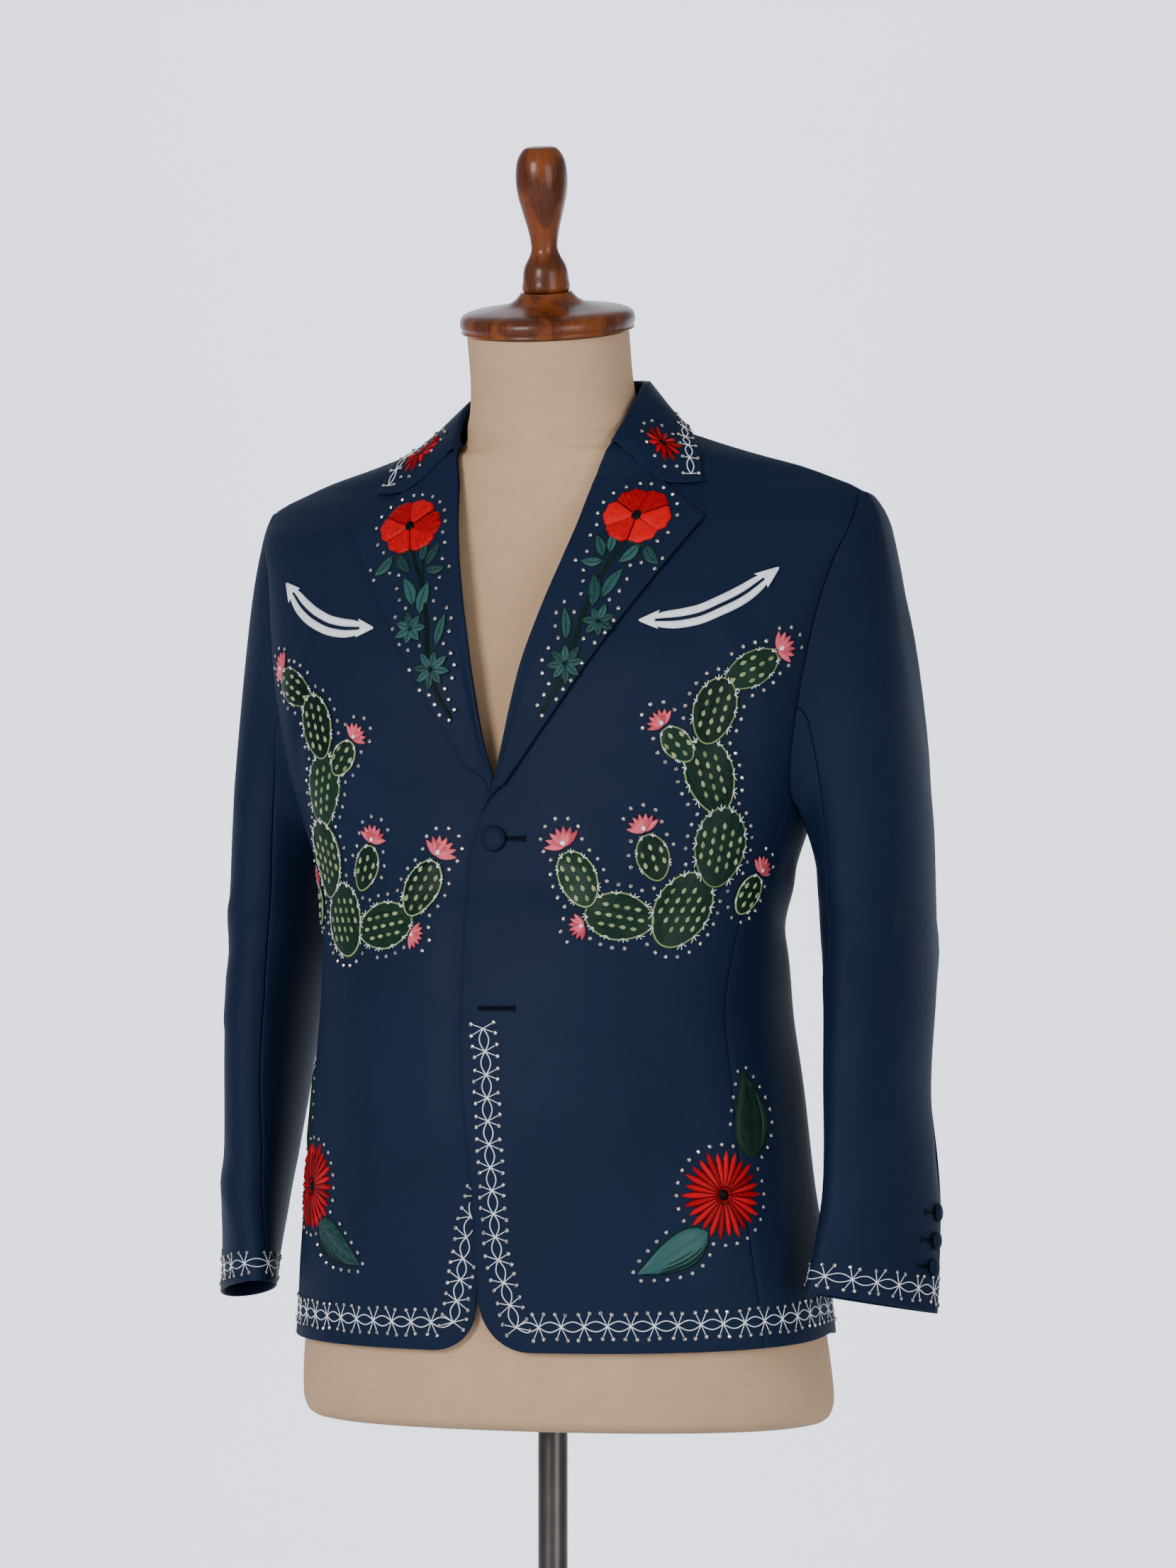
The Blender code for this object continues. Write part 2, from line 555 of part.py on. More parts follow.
def collar_half():
    """Middle points of the collar's cloth on the wearer's left, front end to centre back."""
    along = np.linspace(0, 1, COLLAR_STEPS) ** 0.9
    at = table_at(COLLAR_ROWS, COLLAR_COLUMNS, "along", along)
    seam, fold, edge = (
        np.stack([at[part + "_x"], at[part + "_y"], at[part + "_z"]], -1)
        for part in ("seam", "fold", "edge")
    )
    outward = unit((edge - fold) * (1, 1, 0))
    sheet = [seam, seam + (fold - outward * COLLAR_FOLD_HALF - seam) * 0.55]
    sheet.append(fold - outward * COLLAR_FOLD_HALF - (0, 0, 0.003))
    sheet.append(fold - (0, 0, 0.0004))
    notch = np.array([NOTCH_X, 0, 0])
    notch[1] = body(turn_at_x(NOTCH_X, NOTCH_Z), NOTCH_Z)[1]
    notch[2] = NOTCH_Z
    straight = fold[0] + (edge[0] - fold[0]) * 0.62
    for share in COLLAR_FALL_SHARES:
        point = fold + (edge - fold) * share
        point[:, 2] += COLLAR_CROWN * math.sin(math.pi * share) * np.clip(along / 0.4, 0, 1)
        pull = share / 0.62 if share < 0.62 else (1 - share) / 0.38
        weight = np.clip(1 - along / 0.35, 0, 1) ** 1.5
        point += (notch - straight) * pull * weight[:, None]
        sheet.append(point)
    grid = np.stack(sheet, 1)
    fall = grid[:, 4:]
    # The fall's edge rests on the shoulders and its middle stands clear of the neck seam.
    clear = COLLAR_CLEAR + COLLAR_MIDDLE_CLEAR * (1 - np.array(COLLAR_FALL_SHARES)) + CLOTH / 2
    floor = body_height(fall[..., 0], fall[..., 1]) + clear
    grid[:, 4:, 2] = np.maximum(fall[..., 2], floor)
    return grid


def collar():
    left = collar_half()
    right = left * (-1, 1, 1)
    # Columns run round the neck from the wearer's right to the left, rows from seam to edge.
    grid = np.concatenate([right, left[:-1][::-1]]).transpose(1, 0, 2)
    up = np.gradient(grid, axis=0)
    along = np.gradient(grid, axis=1)
    normals = unit(np.cross(along, up))
    return wall("collar", grid, normals, CLOTH / 2, -CLOTH / 2)


def armhole(phi):
    """The armhole on the body. phi is 0 at the shoulder, 90 degrees at the front."""
    middle = (ARMHOLE_TOP + ARMHOLE_BOTTOM) / 2
    s = np.sin(phi)
    reach = np.where(s > 0, -math.radians(ARMHOLE_FRONT_DEG), math.radians(ARMHOLE_BACK_DEG))
    turn = math.radians(90) + reach * np.abs(s) ** ARMHOLE_ROUNDING
    height = middle + (ARMHOLE_TOP - middle) * np.cos(phi)
    return turn, height


def armhole_phis(low_part):
    """The places round the armhole where the front, side and back panels have their points."""
    middle = (ARMHOLE_TOP + ARMHOLE_BOTTOM) / 2
    rise = [h for h in BODY_HEIGHTS if SEAM_MEETS_ARMHOLE <= h <= ARMHOLE_TOP]
    down = np.arccos(np.clip((np.array(rise[::-1]) - middle) / (ARMHOLE_TOP - middle), -1, 1))
    if not low_part:
        return down
    turn = side_top_turns()[1:-1]
    return np.pi - np.sign(math.radians(90) - turn) * np.arcsin(side_top_sine(turn))


def sleeve_ring(phi, row):
    knots = np.arange(1, len(SLEEVE_ROWS) + 1, dtype=float)
    at = {
        name: smooth(row, knots, column(SLEEVE_ROWS, SLEEVE_COLUMNS, name)) for name in SLEEVE_COLUMNS
    }
    # The upper rings keep the armhole's own outline seen from the side.
    fade = np.clip((SLEEVE_EVEN_ROW - row) / (SLEEVE_EVEN_ROW - 1), 0, 1)
    across = at["half_width"] * np.cos(phi)
    own = body(*armhole(phi))[..., 1] - ARMHOLE_MIDDLE_Y
    back = own * fade - at["half_depth"] * np.sin(phi) * (1 - fade)
    twist = np.radians(at["twist_deg"])
    x = at["mid_x"] + across * np.cos(twist) + back * np.sin(twist)
    y = at["mid_y"] - across * np.sin(twist) + back * np.cos(twist)
    z = at["mid_z"] + at["half_rise"] * np.cos(phi) + at["front_rise"] * np.sin(phi)
    return np.stack([x, y, z], -1)


def ring_normal(phi, row):
    around = sleeve_ring(phi - 1e-3, row) - sleeve_ring(phi + 1e-3, row)
    low = np.minimum(row + 0.05, len(SLEEVE_ROWS))
    high = np.maximum(low - 0.1, 1)
    return unit(np.cross(around, sleeve_ring(phi, high) - sleeve_ring(phi, low)))


def sleeve_start(phi):
    """The sleeve's first points, just clear of the panels, and the way its wall faces there."""
    turn, height = armhole(phi)
    on_body = body(turn, height)
    facing = surface_normal(body, turn, height)
    first = sleeve_ring(phi, np.ones(np.shape(phi)))
    around = sleeve_ring(phi - 1e-3, np.ones(np.shape(phi))) - sleeve_ring(
        phi + 1e-3, np.ones(np.shape(phi))
    )
    own = unit(np.cross(around, on_body - first))
    likeness = np.clip(((own * facing).sum(-1, keepdims=True) - 0.1) / 0.6, 0, 1)
    middle = body(math.radians(95), (ARMHOLE_TOP + ARMHOLE_BOTTOM) / 2)
    toward = middle - on_body
    toward = unit(toward - facing * (toward * facing).sum(-1, keepdims=True))
    start = on_body + toward * SEAM * 1.6 + facing * (SEAM + 0.0002) * (1 - likeness)
    return start, unit(facing * likeness + own * (1 - likeness))


def sleeve(phi, row):
    """The sleeve's outer surface: row 0 is the armhole and the last row is the cuff."""
    phi, row = np.broadcast_arrays(np.asarray(phi, float), np.asarray(row, float))
    share = np.clip(row, 0, 1)[..., None]
    return sleeve_start(phi)[0] * (1 - share) + sleeve_ring(phi, np.maximum(row, 1)) * share


def sleeve_normal(phi, row):
    phi, row = np.broadcast_arrays(np.asarray(phi, float), np.asarray(row, float))
    share = np.clip(row, 0, 1)[..., None]
    return unit(sleeve_start(phi)[1] * (1 - share) + ring_normal(phi, np.maximum(row, 1)) * share)


SLEEVE_GRID = (0, 0.4, 1, 2, 3, 4, 5, 6, 7.5, 8.5, 9.3, 10, 10.7, 11.5, 12.5, 14)


def sleeve_piece(which, side):
    rows = np.array(SLEEVE_GRID, float)[::-1]
    down = armhole_phis(low_part=False)
    front_seam_at = np.argmin(np.abs(down - math.radians(SLEEVE_FRONT_SEAM_DEG)))
    back_seam_at = np.argmin(np.abs(down - math.radians(-SLEEVE_BACK_SEAM_TOP_DEG)))
    cuff_back = math.radians(SLEEVE_BACK_SEAM_CUFF_DEG)
    if which == "top":
        start = np.concatenate([-down[back_seam_at:0:-1], down[: front_seam_at + 1]])[::-1]
        end = np.linspace(start[0], cuff_back, len(start))
    else:
        low = armhole_phis(low_part=True)
        back = 2 * math.pi - down[back_seam_at:]
        start = np.concatenate([down[front_seam_at:], low, back[::-1]])[::-1]
        end = np.linspace(cuff_back + 2 * math.pi, start[-1], len(start))
    even = np.clip(rows / SLEEVE_EVEN_ROW, 0, 1)[:, None]
    to_cuff = np.clip(rows / len(SLEEVE_ROWS), 0, 1)[:, None]
    level = np.linspace(start[0], start[-1], len(start))[None, :]
    spread = level * (1 - to_cuff) + end[None, :] * to_cuff
    phi = start[None, :] * (1 - even) + spread * even
    row = np.repeat(rows[:, None], len(start), axis=1)
    points = draw_in(sleeve(phi, row), "first_column", "last_column", by=SEAM)
    name = which + "_sleeve_" + side
    return wall(name, points, sleeve_normal(phi, row), 0, -CLOTH, mirrored=side == "right")


def pocket_line(share):
    knots = np.linspace(0, 1, len(POCKET_ROWS))
    return tuple(
        smooth(share, knots, column(POCKET_ROWS, POCKET_COLUMNS, name)) for name in POCKET_COLUMNS
    )


def on_front(name, x, z, raise_by, side):
    """A flat trim on the left front, or mirrored on the right one, made from the front's points."""
    turn = turn_at_x(x, z)
    points = body(turn, z)
    normals = surface_normal(body, turn, z)
    return wall(name, points, normals, SEAM + raise_by, SEAM, "white_satin", side == "right")


POCKET_STEPS = 15
BAND_SHARES = (-0.5, 0.5)


def pocket_band(where, side):
    share = np.linspace(0.03, 0.97, POCKET_STEPS)
    x, z = pocket_line(share)
    step_x, step_z = np.gradient(x), np.gradient(z)
    length = np.hypot(step_x, step_z)
    normal_x, normal_z = -step_z / length, step_x / length
    middle = (POCKET_SLIT + POCKET_BAND) / 2 * (1 if where == "upper" else -1)
    reach = middle + POCKET_BAND * np.array(BAND_SHARES)
    # The two bands draw together toward the arrowheads.
    narrow = 1 - 0.25 * np.abs(2 * share - 1) ** 4
    x = x[None, :] + reach[:, None] * (normal_x * narrow)[None, :]
    z = z[None, :] + reach[:, None] * (normal_z * narrow)[None, :]
    return on_front("pocket_" + where + "_" + side, x, z, POCKET_RAISE, side)


def pocket_arrow(where, side):
    """The arrowhead stitched over the end of the pocket: a triangle that points away from it."""
    end = 0.0 if where == "inner" else 1.0
    tip = np.array(pocket_line(np.array(end)))
    inside = np.array(pocket_line(np.array(abs(end - 0.08))))
    ahead = (tip - inside) / np.linalg.norm(tip - inside)
    beside = np.array([ahead[1], -ahead[0]])
    if where == "inner":
        beside = -beside
    along = np.linspace(0, 1, 4)[None, :]
    spread = np.linspace(-0.5, 0.5, 3)[:, None]
    width = ARROW_WIDTH * (1 - along) + 0.0012
    start = tip + ahead * 0.0030
    x = start[0] + ahead[0] * ARROW_LENGTH * along + beside[0] * width * spread
    z = start[1] + ahead[1] * ARROW_LENGTH * along + beside[1] * width * spread
    if where == "inner":
        x, z = x[:, ::-1], z[:, ::-1]
    return on_front("pocket_arrow_" + where + "_" + side, x[::-1], z[::-1], POCKET_RAISE, side)


def turned(name, profile, finish, steps=32):
    """A turned piece: its profile goes round the Z axis."""
    mesh = bpy.data.meshes.new(name)
    points = [(radius, 0, height) for radius, height in profile]
    edges = [(k, k + 1) for k in range(len(points) - 1)]
    mesh.from_pydata(points, edges, [])
    mesh.materials.append(bpy.data.materials[finish])
    obj = bpy.data.objects.new(name, mesh)
    bpy.data.collections[COLLECTION].objects.link(obj)
    screw = obj.modifiers.new("turn", "SCREW")
    screw.axis = "Z"
    screw.steps = steps
    screw.render_steps = steps
    screw.use_merge_vertices = True
    screw.merge_threshold = 0.00001
    screw.use_smooth_shade = True
    return obj


def button_profile(radius, height):
    return (
        (0.0, height), (radius * 0.55, height * 0.92), (radius * 0.88, height * 0.68),
        (radius, height * 0.38), (radius * 0.90, height * 0.12), (radius * 0.70, 0.0), (0.0, 0.0),
    )


def stand_on(obj, at, facing):
    """Puts a turned piece's foot at a point, with its axis along the direction."""
    z_axis = np.array([0.0, 0.0, 1.0])
    half = unit(z_axis + facing)
    obj.location = tuple(at)
    obj.rotation_mode = "QUATERNION"
    obj.rotation_quaternion = (float(half @ z_axis), *map(float, np.cross(z_axis, half)))


def covered_button(name, at, facing, radius, height, lift):
    obj = turned(name, button_profile(radius, height), "navy_worsted", steps=12)
    stand_on(obj, at + facing * lift, facing)


def buttons():
    turn = turn_at_x(np.array(0.0), np.array(BUTTON_Z))
    at = body(turn, BUTTON_Z)
    facing = surface_normal(body, turn, np.array(BUTTON_Z))
    covered_button("front_button", at, facing, BUTTON_RADIUS, BUTTON_HEIGHT, BUTTON_LIFT)
    rows = column(SLEEVE_ROWS, SLEEVE_COLUMNS, "mid_z")
    for side, sign in (("left", 1), ("right", -1)):
        for number, (height, lift) in enumerate(CUFF_BUTTON_ROWS, 1):
            row = np.interp(-height, -rows, np.arange(1, len(rows) + 1))
            phi = np.radians(CUFF_BUTTON_DEG)
            at = sleeve(phi, row) * (sign, 1, 1)
            facing = sleeve_normal(phi, np.array(row)) * (sign, 1, 1)
            name = f"cuff_button_{side}_{number}"
            covered_button(name, at, facing, CUFF_BUTTON_RADIUS, CUFF_BUTTON_HEIGHT, lift)


FORM_AROUND = 32
NECK_RINGS = ((1.462, 0.0690, 0.0660), (1.476, 0.0650, 0.0640), (1.500, 0.0626, 0.0626))


def head_lean_direction():
    turn = math.radians(HEAD_TURN_DEG)
    return np.array([math.sin(turn), -math.cos(turn), 0.0])


def neck_middle(height):
    lean = math.tan(math.radians(NECK_LEAN_DEG))
    return NECK_TOP_Y + (NECK_TOP_Z - height) * lean


def dress_form():
    """The cloth-covered torso: rings up to the shoulders, then the neck that leans forward."""
    around = np.linspace(0, 2 * math.pi, FORM_AROUND, endpoint=False)
    s, c = np.sin(around), np.cos(around)
    rings = []
    for height, half_width, side_y, front_y, back_y, front_square, back_square in FORM_ROWS:
        depth = np.where(c > 0, side_y - front_y, back_y - side_y)
        power = 2 / np.where(c > 0, front_square, back_square)
        x = half_width * np.sign(s) * np.abs(s) ** power
        y = side_y - depth * np.sign(c) * np.abs(c) ** power
        rings.append(np.stack([x, y, np.full(FORM_AROUND, height)], -1))
    toward = head_lean_direction()
    for height, across, deep in NECK_RINGS + ((NECK_TOP_Z, NECK_RADIUS, NECK_RADIUS),):
        # Each neck ring tips forward a little more than the one below, up to the plate's tilt.
        tip = math.radians(HEAD_TILT_DEG) * min(1, (height - 1.452) / (NECK_TOP_Z - 1.452))
        offset = np.stack([across * s, -deep * c, np.zeros(FORM_AROUND)], -1)
        ahead = (offset @ toward)[:, None]
        offset = offset + ahead * (toward * (math.cos(tip) - 1) - np.array([0, 0, math.sin(tip)]))
        rings.append(offset + (0, neck_middle(height), height))
    points = np.concatenate(rings)
    faces = quads(len(rings), FORM_AROUND, closed=True)
    faces.append(tuple(reversed(range(FORM_AROUND))))
    top = (len(rings) - 1) * FORM_AROUND
    faces.append(tuple(top + k for k in range(FORM_AROUND)))
    return make_object("dress_form", points, faces, "beige_cover")


def head_pieces():
    """The neck plate and the finial, square to the neck's top."""
    tilt = math.radians(HEAD_TILT_DEG)
    up = head_lean_direction() * math.sin(tilt) + (0, 0, math.cos(tilt))
    foot = np.array([0, NECK_TOP_Y, NECK_TOP_Z]) + up * SEAM
    plate = turned("neck_plate", PLATE_PROFILE, "red_brown_wood", steps=32)
    finial = turned("finial", FINIAL_PROFILE, "red_brown_wood", steps=20)
    stand_on(plate, foot, up)
    stand_on(finial, foot + up * (PLATE_PROFILE[0][1] + SEAM), up)


def stand():
    base_top = BASE_PROFILE[0][1]
    turned("stand_base", BASE_PROFILE, "dark_metal", steps=32)
    length = FORM_BOTTOM - base_top - 2 * SEAM
    profile = ((0.0, length), (POLE_RADIUS, length), (POLE_RADIUS, 0.0), (0.0, 0.0))
    pole = turned("pole", profile, "dark_metal", steps=24)
    pole.location = (0, 0, base_top + SEAM)


def clear_scene():
    for obj in list(bpy.data.objects):
        bpy.data.objects.remove(obj, do_unlink=True)
    made = bpy.data.collections.new(COLLECTION)
    bpy.context.scene.collection.children.link(made)


def make_finishes():
    for name, (colour, roughness, metallic) in FINISHES.items():
        material = bpy.data.materials.new(name)
        material.use_nodes = True
        shader = material.node_tree.nodes["Principled BSDF"]
        shader.inputs["Base Color"].default_value = (*colour, 1)
        shader.inputs["Roughness"].default_value = roughness
        shader.inputs["Metallic"].default_value = metallic


def main():
    clear_scene()
    make_finishes()
    for side in ("left", "right"):
        front_panel(side)
        side_panel(side)
        back_panel(side)
        lapel(side)
        sleeve_piece("top", side)
        sleeve_piece("under", side)
        for where in ("upper", "lower"):
            pocket_band(where, side)
        for where in ("inner", "outer"):
            pocket_arrow(where, side)
    collar()
    buttons()
    dress_form()
    head_pieces()
    stand()


main()
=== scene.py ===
"""An embroidered western suit jacket on a limbless dress form: the look of the row.

Metres, +Z up. The front of the jacket faces -Y and the wearer's left is +X.
"""

import math

import bpy
import numpy as np
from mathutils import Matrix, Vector


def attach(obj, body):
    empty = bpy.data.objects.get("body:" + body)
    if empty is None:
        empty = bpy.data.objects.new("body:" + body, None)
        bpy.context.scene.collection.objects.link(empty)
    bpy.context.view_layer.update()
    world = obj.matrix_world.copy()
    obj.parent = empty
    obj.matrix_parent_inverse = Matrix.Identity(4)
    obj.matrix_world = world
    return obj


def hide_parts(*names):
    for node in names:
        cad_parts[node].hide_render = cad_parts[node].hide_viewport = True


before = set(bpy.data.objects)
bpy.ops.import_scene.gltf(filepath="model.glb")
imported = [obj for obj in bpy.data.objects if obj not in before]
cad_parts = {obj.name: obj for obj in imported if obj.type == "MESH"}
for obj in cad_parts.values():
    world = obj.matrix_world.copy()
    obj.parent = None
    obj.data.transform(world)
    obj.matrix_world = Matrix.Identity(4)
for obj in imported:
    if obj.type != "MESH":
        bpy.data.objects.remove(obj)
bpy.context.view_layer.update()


# Driving dimensions
CLOTH = 0.0022  # worsted with its canvas
SEAM = 0.0003  # clear space between two pieces

HEM_FRONT = 0.7575
HEM_SIDE = 0.7680
HEM_BACK = 0.7640
ARMHOLE_TOP = 1.4070
ARMHOLE_BOTTOM = 1.1650
ARMHOLE_MIDDLE_Z = (ARMHOLE_TOP + ARMHOLE_BOTTOM) / 2
ARMHOLE_HALF = ARMHOLE_TOP - ARMHOLE_MIDDLE_Z
ARMHOLE_FRONT_DEG = 19.0  # how far the armhole reaches round the body from its side
ARMHOLE_BACK_DEG = 33.0
ARMHOLE_ROUNDING = 0.6
SEAM_MEETS_ARMHOLE = 1.1750

BUTTON_RADIUS = 0.0098
BUTTON_HEIGHT = 0.0052
BUTTON_Z = 1.1420
BUTTON_LIFT = 0.0007
CUFF_BUTTON_RADIUS = 0.0072
CUFF_BUTTON_HEIGHT = 0.0042
# Height of each cuff button, and the lift that clears the sleeve's flat facets by a hair.
CUFF_BUTTON_ROWS = ((0.8240, 0.0005), (0.8430, 0.0004), (0.8620, -0.0002))
CUFF_BUTTON_DEG = -41.0

POCKET_BAND = 0.0060
POCKET_SLIT = 0.0030
POCKET_RAISE = 0.0014

NECK_RADIUS = 0.0624
NECK_LEAN_DEG = 12.5
HEAD_TILT_DEG = 14.0
HEAD_TURN_DEG = 12.0
NECK_TOP_Y = -0.0100
NECK_TOP_Z = 1.5345
POLE_RADIUS = 0.0115
BASE_RADIUS = 0.1650
FORM_BOTTOM = 0.6960

# The jacket's outer surface: one closed ring at each height.
BODY_COLUMNS = ("height", "half_width", "side_y", "front_y", "back_y", "front_square", "back_square")
BODY_ROWS = (
    (0.740, 0.2170, 0.030, -0.1230, 0.1420, 2.3, 2.3),
    (0.772, 0.2140, 0.030, -0.1245, 0.1400, 2.3, 2.3),
    (0.826, 0.2070, 0.026, -0.1290, 0.1360, 2.4, 2.4),
    (0.878, 0.2000, 0.018, -0.1335, 0.1310, 2.4, 2.4),
    (0.941, 0.1940, 0.016, -0.1375, 0.1220, 2.3, 2.4),
    (1.027, 0.1840, 0.016, -0.1360, 0.1080, 2.4, 2.4),
    (1.082, 0.1820, 0.010, -0.1290, 0.1040, 2.4, 2.4),
    (1.112, 0.1870, 0.008, -0.1215, 0.1060, 2.3, 2.4),
    (1.162, 0.2020, 0.008, -0.1160, 0.1160, 2.5, 2.5),
    (1.210, 0.2150, 0.009, -0.1175, 0.1240, 2.6, 2.6),
    (1.260, 0.2260, 0.012, -0.1140, 0.1300, 2.6, 2.6),
    (1.310, 0.2350, 0.014, -0.1000, 0.1320, 2.5, 2.6),
    (1.350, 0.2430, 0.016, -0.0830, 0.1270, 2.3, 2.6),
    (1.383, 0.2510, 0.018, -0.0680, 0.1200, 2.0, 2.5),
    (1.396, 0.2500, 0.020, -0.0640, 0.1165, 1.65, 2.4),
    (1.407, 0.2430, 0.020, -0.0620, 0.1130, 1.4, 2.3),
    (1.418, 0.2190, 0.020, -0.0615, 0.1085, 1.25, 2.2),
    (1.4275, 0.1940, 0.020, -0.0605, 0.1045, 1.25, 2.2),
    (1.435, 0.1680, 0.020, -0.0595, 0.1015, 1.3, 2.2),
    (1.443, 0.1420, 0.020, -0.0550, 0.0985, 1.3, 2.2),
    (1.4515, 0.1170, 0.020, -0.0330, 0.0960, 1.35, 2.2),
    (1.461, 0.0920, 0.020, -0.0110, 0.0930, 1.4, 2.2),
    (1.472, 0.0800, 0.020, -0.0010, 0.0900, 1.5, 2.2),
)

# The sleeve's rings below the armhole, from the shoulder to the cuff, in the wearer's left sleeve.
SLEEVE_COLUMNS = (
    "mid_x", "mid_y", "mid_z", "half_width", "half_rise", "half_depth", "twist_deg", "front_rise"
)
SLEEVE_ROWS = (
    (0.2285, 0.032, 1.2825, 0.0240, 0.1215, 0.0620, 0, 0.0),
    (0.2320, 0.034, 1.2645, 0.0280, 0.1105, 0.0660, 0, 0.0),
    (0.2353, 0.038, 1.2405, 0.0313, 0.0945, 0.0690, 0, 0.0),
    (0.2383, 0.042, 1.2135, 0.0338, 0.0765, 0.0720, 0, 0.0),
    (0.2408, 0.046, 1.1860, 0.0358, 0.0590, 0.0750, 0, 0.0),
    (0.2430, 0.050, 1.1570, 0.0375, 0.0430, 0.0770, 0, 0.0),
    (0.2450, 0.0525, 1.1225, 0.0390, 0.0275, 0.0780, 0, 0.0),
    (0.2475, 0.050, 1.0800, 0.0385, 0.0100, 0.0765, 1, 0.0),
    (0.2523, 0.0391, 1.0270, 0.0350, 0.0, 0.0720, 5, 0.0),
    (0.2544, 0.0265, 0.9550, 0.0305, 0.0, 0.0670, 9, 0.0),
    (0.2580, 0.0235, 0.9050, 0.0285, 0.0, 0.0650, 15, 0.001),
    (0.2605, 0.0170, 0.8650, 0.0270, 0.0, 0.0645, 20, 0.003),
    (0.2598, 0.0080, 0.8250, 0.0235, 0.0, 0.0630, 27, 0.007),
    (0.2586, -0.0010, 0.7930, 0.0210, 0.0, 0.0620, 33, 0.010),
)
ARMHOLE_MIDDLE_Y = 0.027
SLEEVE_EVEN_ROW = 6
SLEEVE_FRONT_SEAM_DEG = 118.0
SLEEVE_BACK_SEAM_TOP_DEG = -72.0
SLEEVE_BACK_SEAM_CUFF_DEG = -52.0

# Front edge of each front, measured from the centre line toward its own side.
EDGE_COLUMNS = ("height", "left_x", "right_x")
EDGE_ROWS = (
    (0.760, -0.0096, 0.0125),
    (0.800, -0.0098, 0.0118),
    (0.850, -0.0110, 0.0020),
    (0.920, -0.0150, -0.0110),
    (0.980, -0.0195, -0.0170),
    (1.070, -0.0195, -0.0185),
    (1.125, -0.0200, -0.0190),
    (1.155, -0.0130, -0.0130),
    (1.190, 0.0030, 0.0030),
    (1.279, 0.0241, 0.0241),
    (1.374, 0.0492, 0.0492),
    (1.4436, 0.0647, 0.0647),
    (1.4525, 0.0730, 0.0730),
    (1.461, 0.0820, 0.0820),
)
CORNER_RADIUS = {"left": 0.040, "right": 0.036}

# The lapel's outer edge, from the roll end up to its point.
LAPEL_COLUMNS = ("left_x", "left_z", "right_x", "right_z")
LAPEL_ROWS = (
    (-0.0085, 1.1600, 0.0160, 1.1770),
    (0.0190, 1.1960, 0.0290, 1.2060),
    (0.0500, 1.2390, 0.0530, 1.2420),
    (0.0853, 1.2920, 0.0853, 1.2920),
    (0.1212, 1.3470, 0.1212, 1.3470),
    (0.1440, 1.3830, 0.1440, 1.3830),
)
LAPEL_FOOT_Z = {"left": 1.1570, "right": 1.1810}
GORGE_Z = 1.4436
NOTCH_X = 0.1115
NOTCH_Z = 1.4115

# The collar from its front end round to the centre back: seam of the stand, fold, outer edge.
COLLAR_COLUMNS = (
    "along", "seam_x", "seam_y", "seam_z", "fold_x", "fold_y", "fold_z", "edge_x", "edge_y", "edge_z"
)
COLLAR_ROWS = (
    (0.00, 0.0600, -0.0310, 1.4465, 0.0650, -0.0390, 1.4535, 0.1355, -0.0250, 1.4240),
    (0.25, 0.0780, -0.0060, 1.4600, 0.0710, -0.0080, 1.4770, 0.1160, 0.0020, 1.4480),
    (0.50, 0.0795, 0.0290, 1.4655, 0.0670, 0.0280, 1.4960, 0.0985, 0.0320, 1.4600),
    (0.75, 0.0610, 0.0690, 1.4660, 0.0500, 0.0640, 1.5020, 0.0710, 0.0885, 1.4600),
    (1.00, 0.0000, 0.0860, 1.4660, 0.0000, 0.0790, 1.5050, 0.0000, 0.1075, 1.4590),
)

# The smile pocket's middle line on the wearer's left front.
POCKET_COLUMNS = ("middle_x", "middle_z")
POCKET_ROWS = (
    (0.1190, 1.3040),
    (0.1330, 1.3045),
    (0.1480, 1.3070),
    (0.1650, 1.3140),
    (0.1800, 1.3235),
    (0.1935, 1.3360),
)

# The form under the jacket, closed over the shoulders and drawn in to the neck, with the same
# columns as the jacket's rings.
FORM_ROWS = (
    (0.696, 0.1940, 0.032, -0.0920, 0.1270, 2.2, 2.2),
    (0.698, 0.2030, 0.032, -0.1000, 0.1350, 2.2, 2.2),
    (0.704, 0.2100, 0.032, -0.1060, 0.1410, 2.2, 2.2),
    (0.715, 0.2130, 0.032, -0.1090, 0.1430, 2.2, 2.2),
    (0.740, 0.2105, 0.031, -0.1120, 0.1390, 2.3, 2.3),
    (0.790, 0.2030, 0.028, -0.1150, 0.1310, 2.4, 2.4),
    (0.850, 0.1945, 0.022, -0.1180, 0.1240, 2.4, 2.4),
    (0.930, 0.1850, 0.016, -0.1180, 0.1120, 2.4, 2.4),
    (1.030, 0.1740, 0.014, -0.1150, 0.0980, 2.4, 2.4),
    (1.090, 0.1730, 0.010, -0.1080, 0.0950, 2.4, 2.4),
    (1.160, 0.1870, 0.008, -0.1030, 0.1040, 2.5, 2.5),
    (1.230, 0.2000, 0.010, -0.1010, 0.1140, 2.5, 2.5),
    (1.290, 0.2080, 0.013, -0.0900, 0.1200, 2.5, 2.5),
    (1.340, 0.2130, 0.016, -0.0720, 0.1180, 2.3, 2.5),
    (1.375, 0.2140, 0.018, -0.0600, 0.1130, 2.0, 2.4),
    (1.397, 0.2080, 0.020, -0.0560, 0.1080, 1.6, 2.3),
    (1.4095, 0.1980, 0.020, -0.0560, 0.1050, 1.4, 2.2),
    (1.420, 0.1850, 0.020, -0.0560, 0.1010, 1.3, 2.1),
    (1.430, 0.1650, 0.020, -0.0570, 0.0970, 1.25, 2.1),
    (1.438, 0.1360, 0.020, -0.0580, 0.0940, 1.3, 2.1),
    (1.4450, 0.0900, 0.018, -0.0590, 0.0900, 1.40, 2.1),
    (1.4525, 0.0695, 0.012, -0.0585, 0.0860, 1.95, 2.0),
)

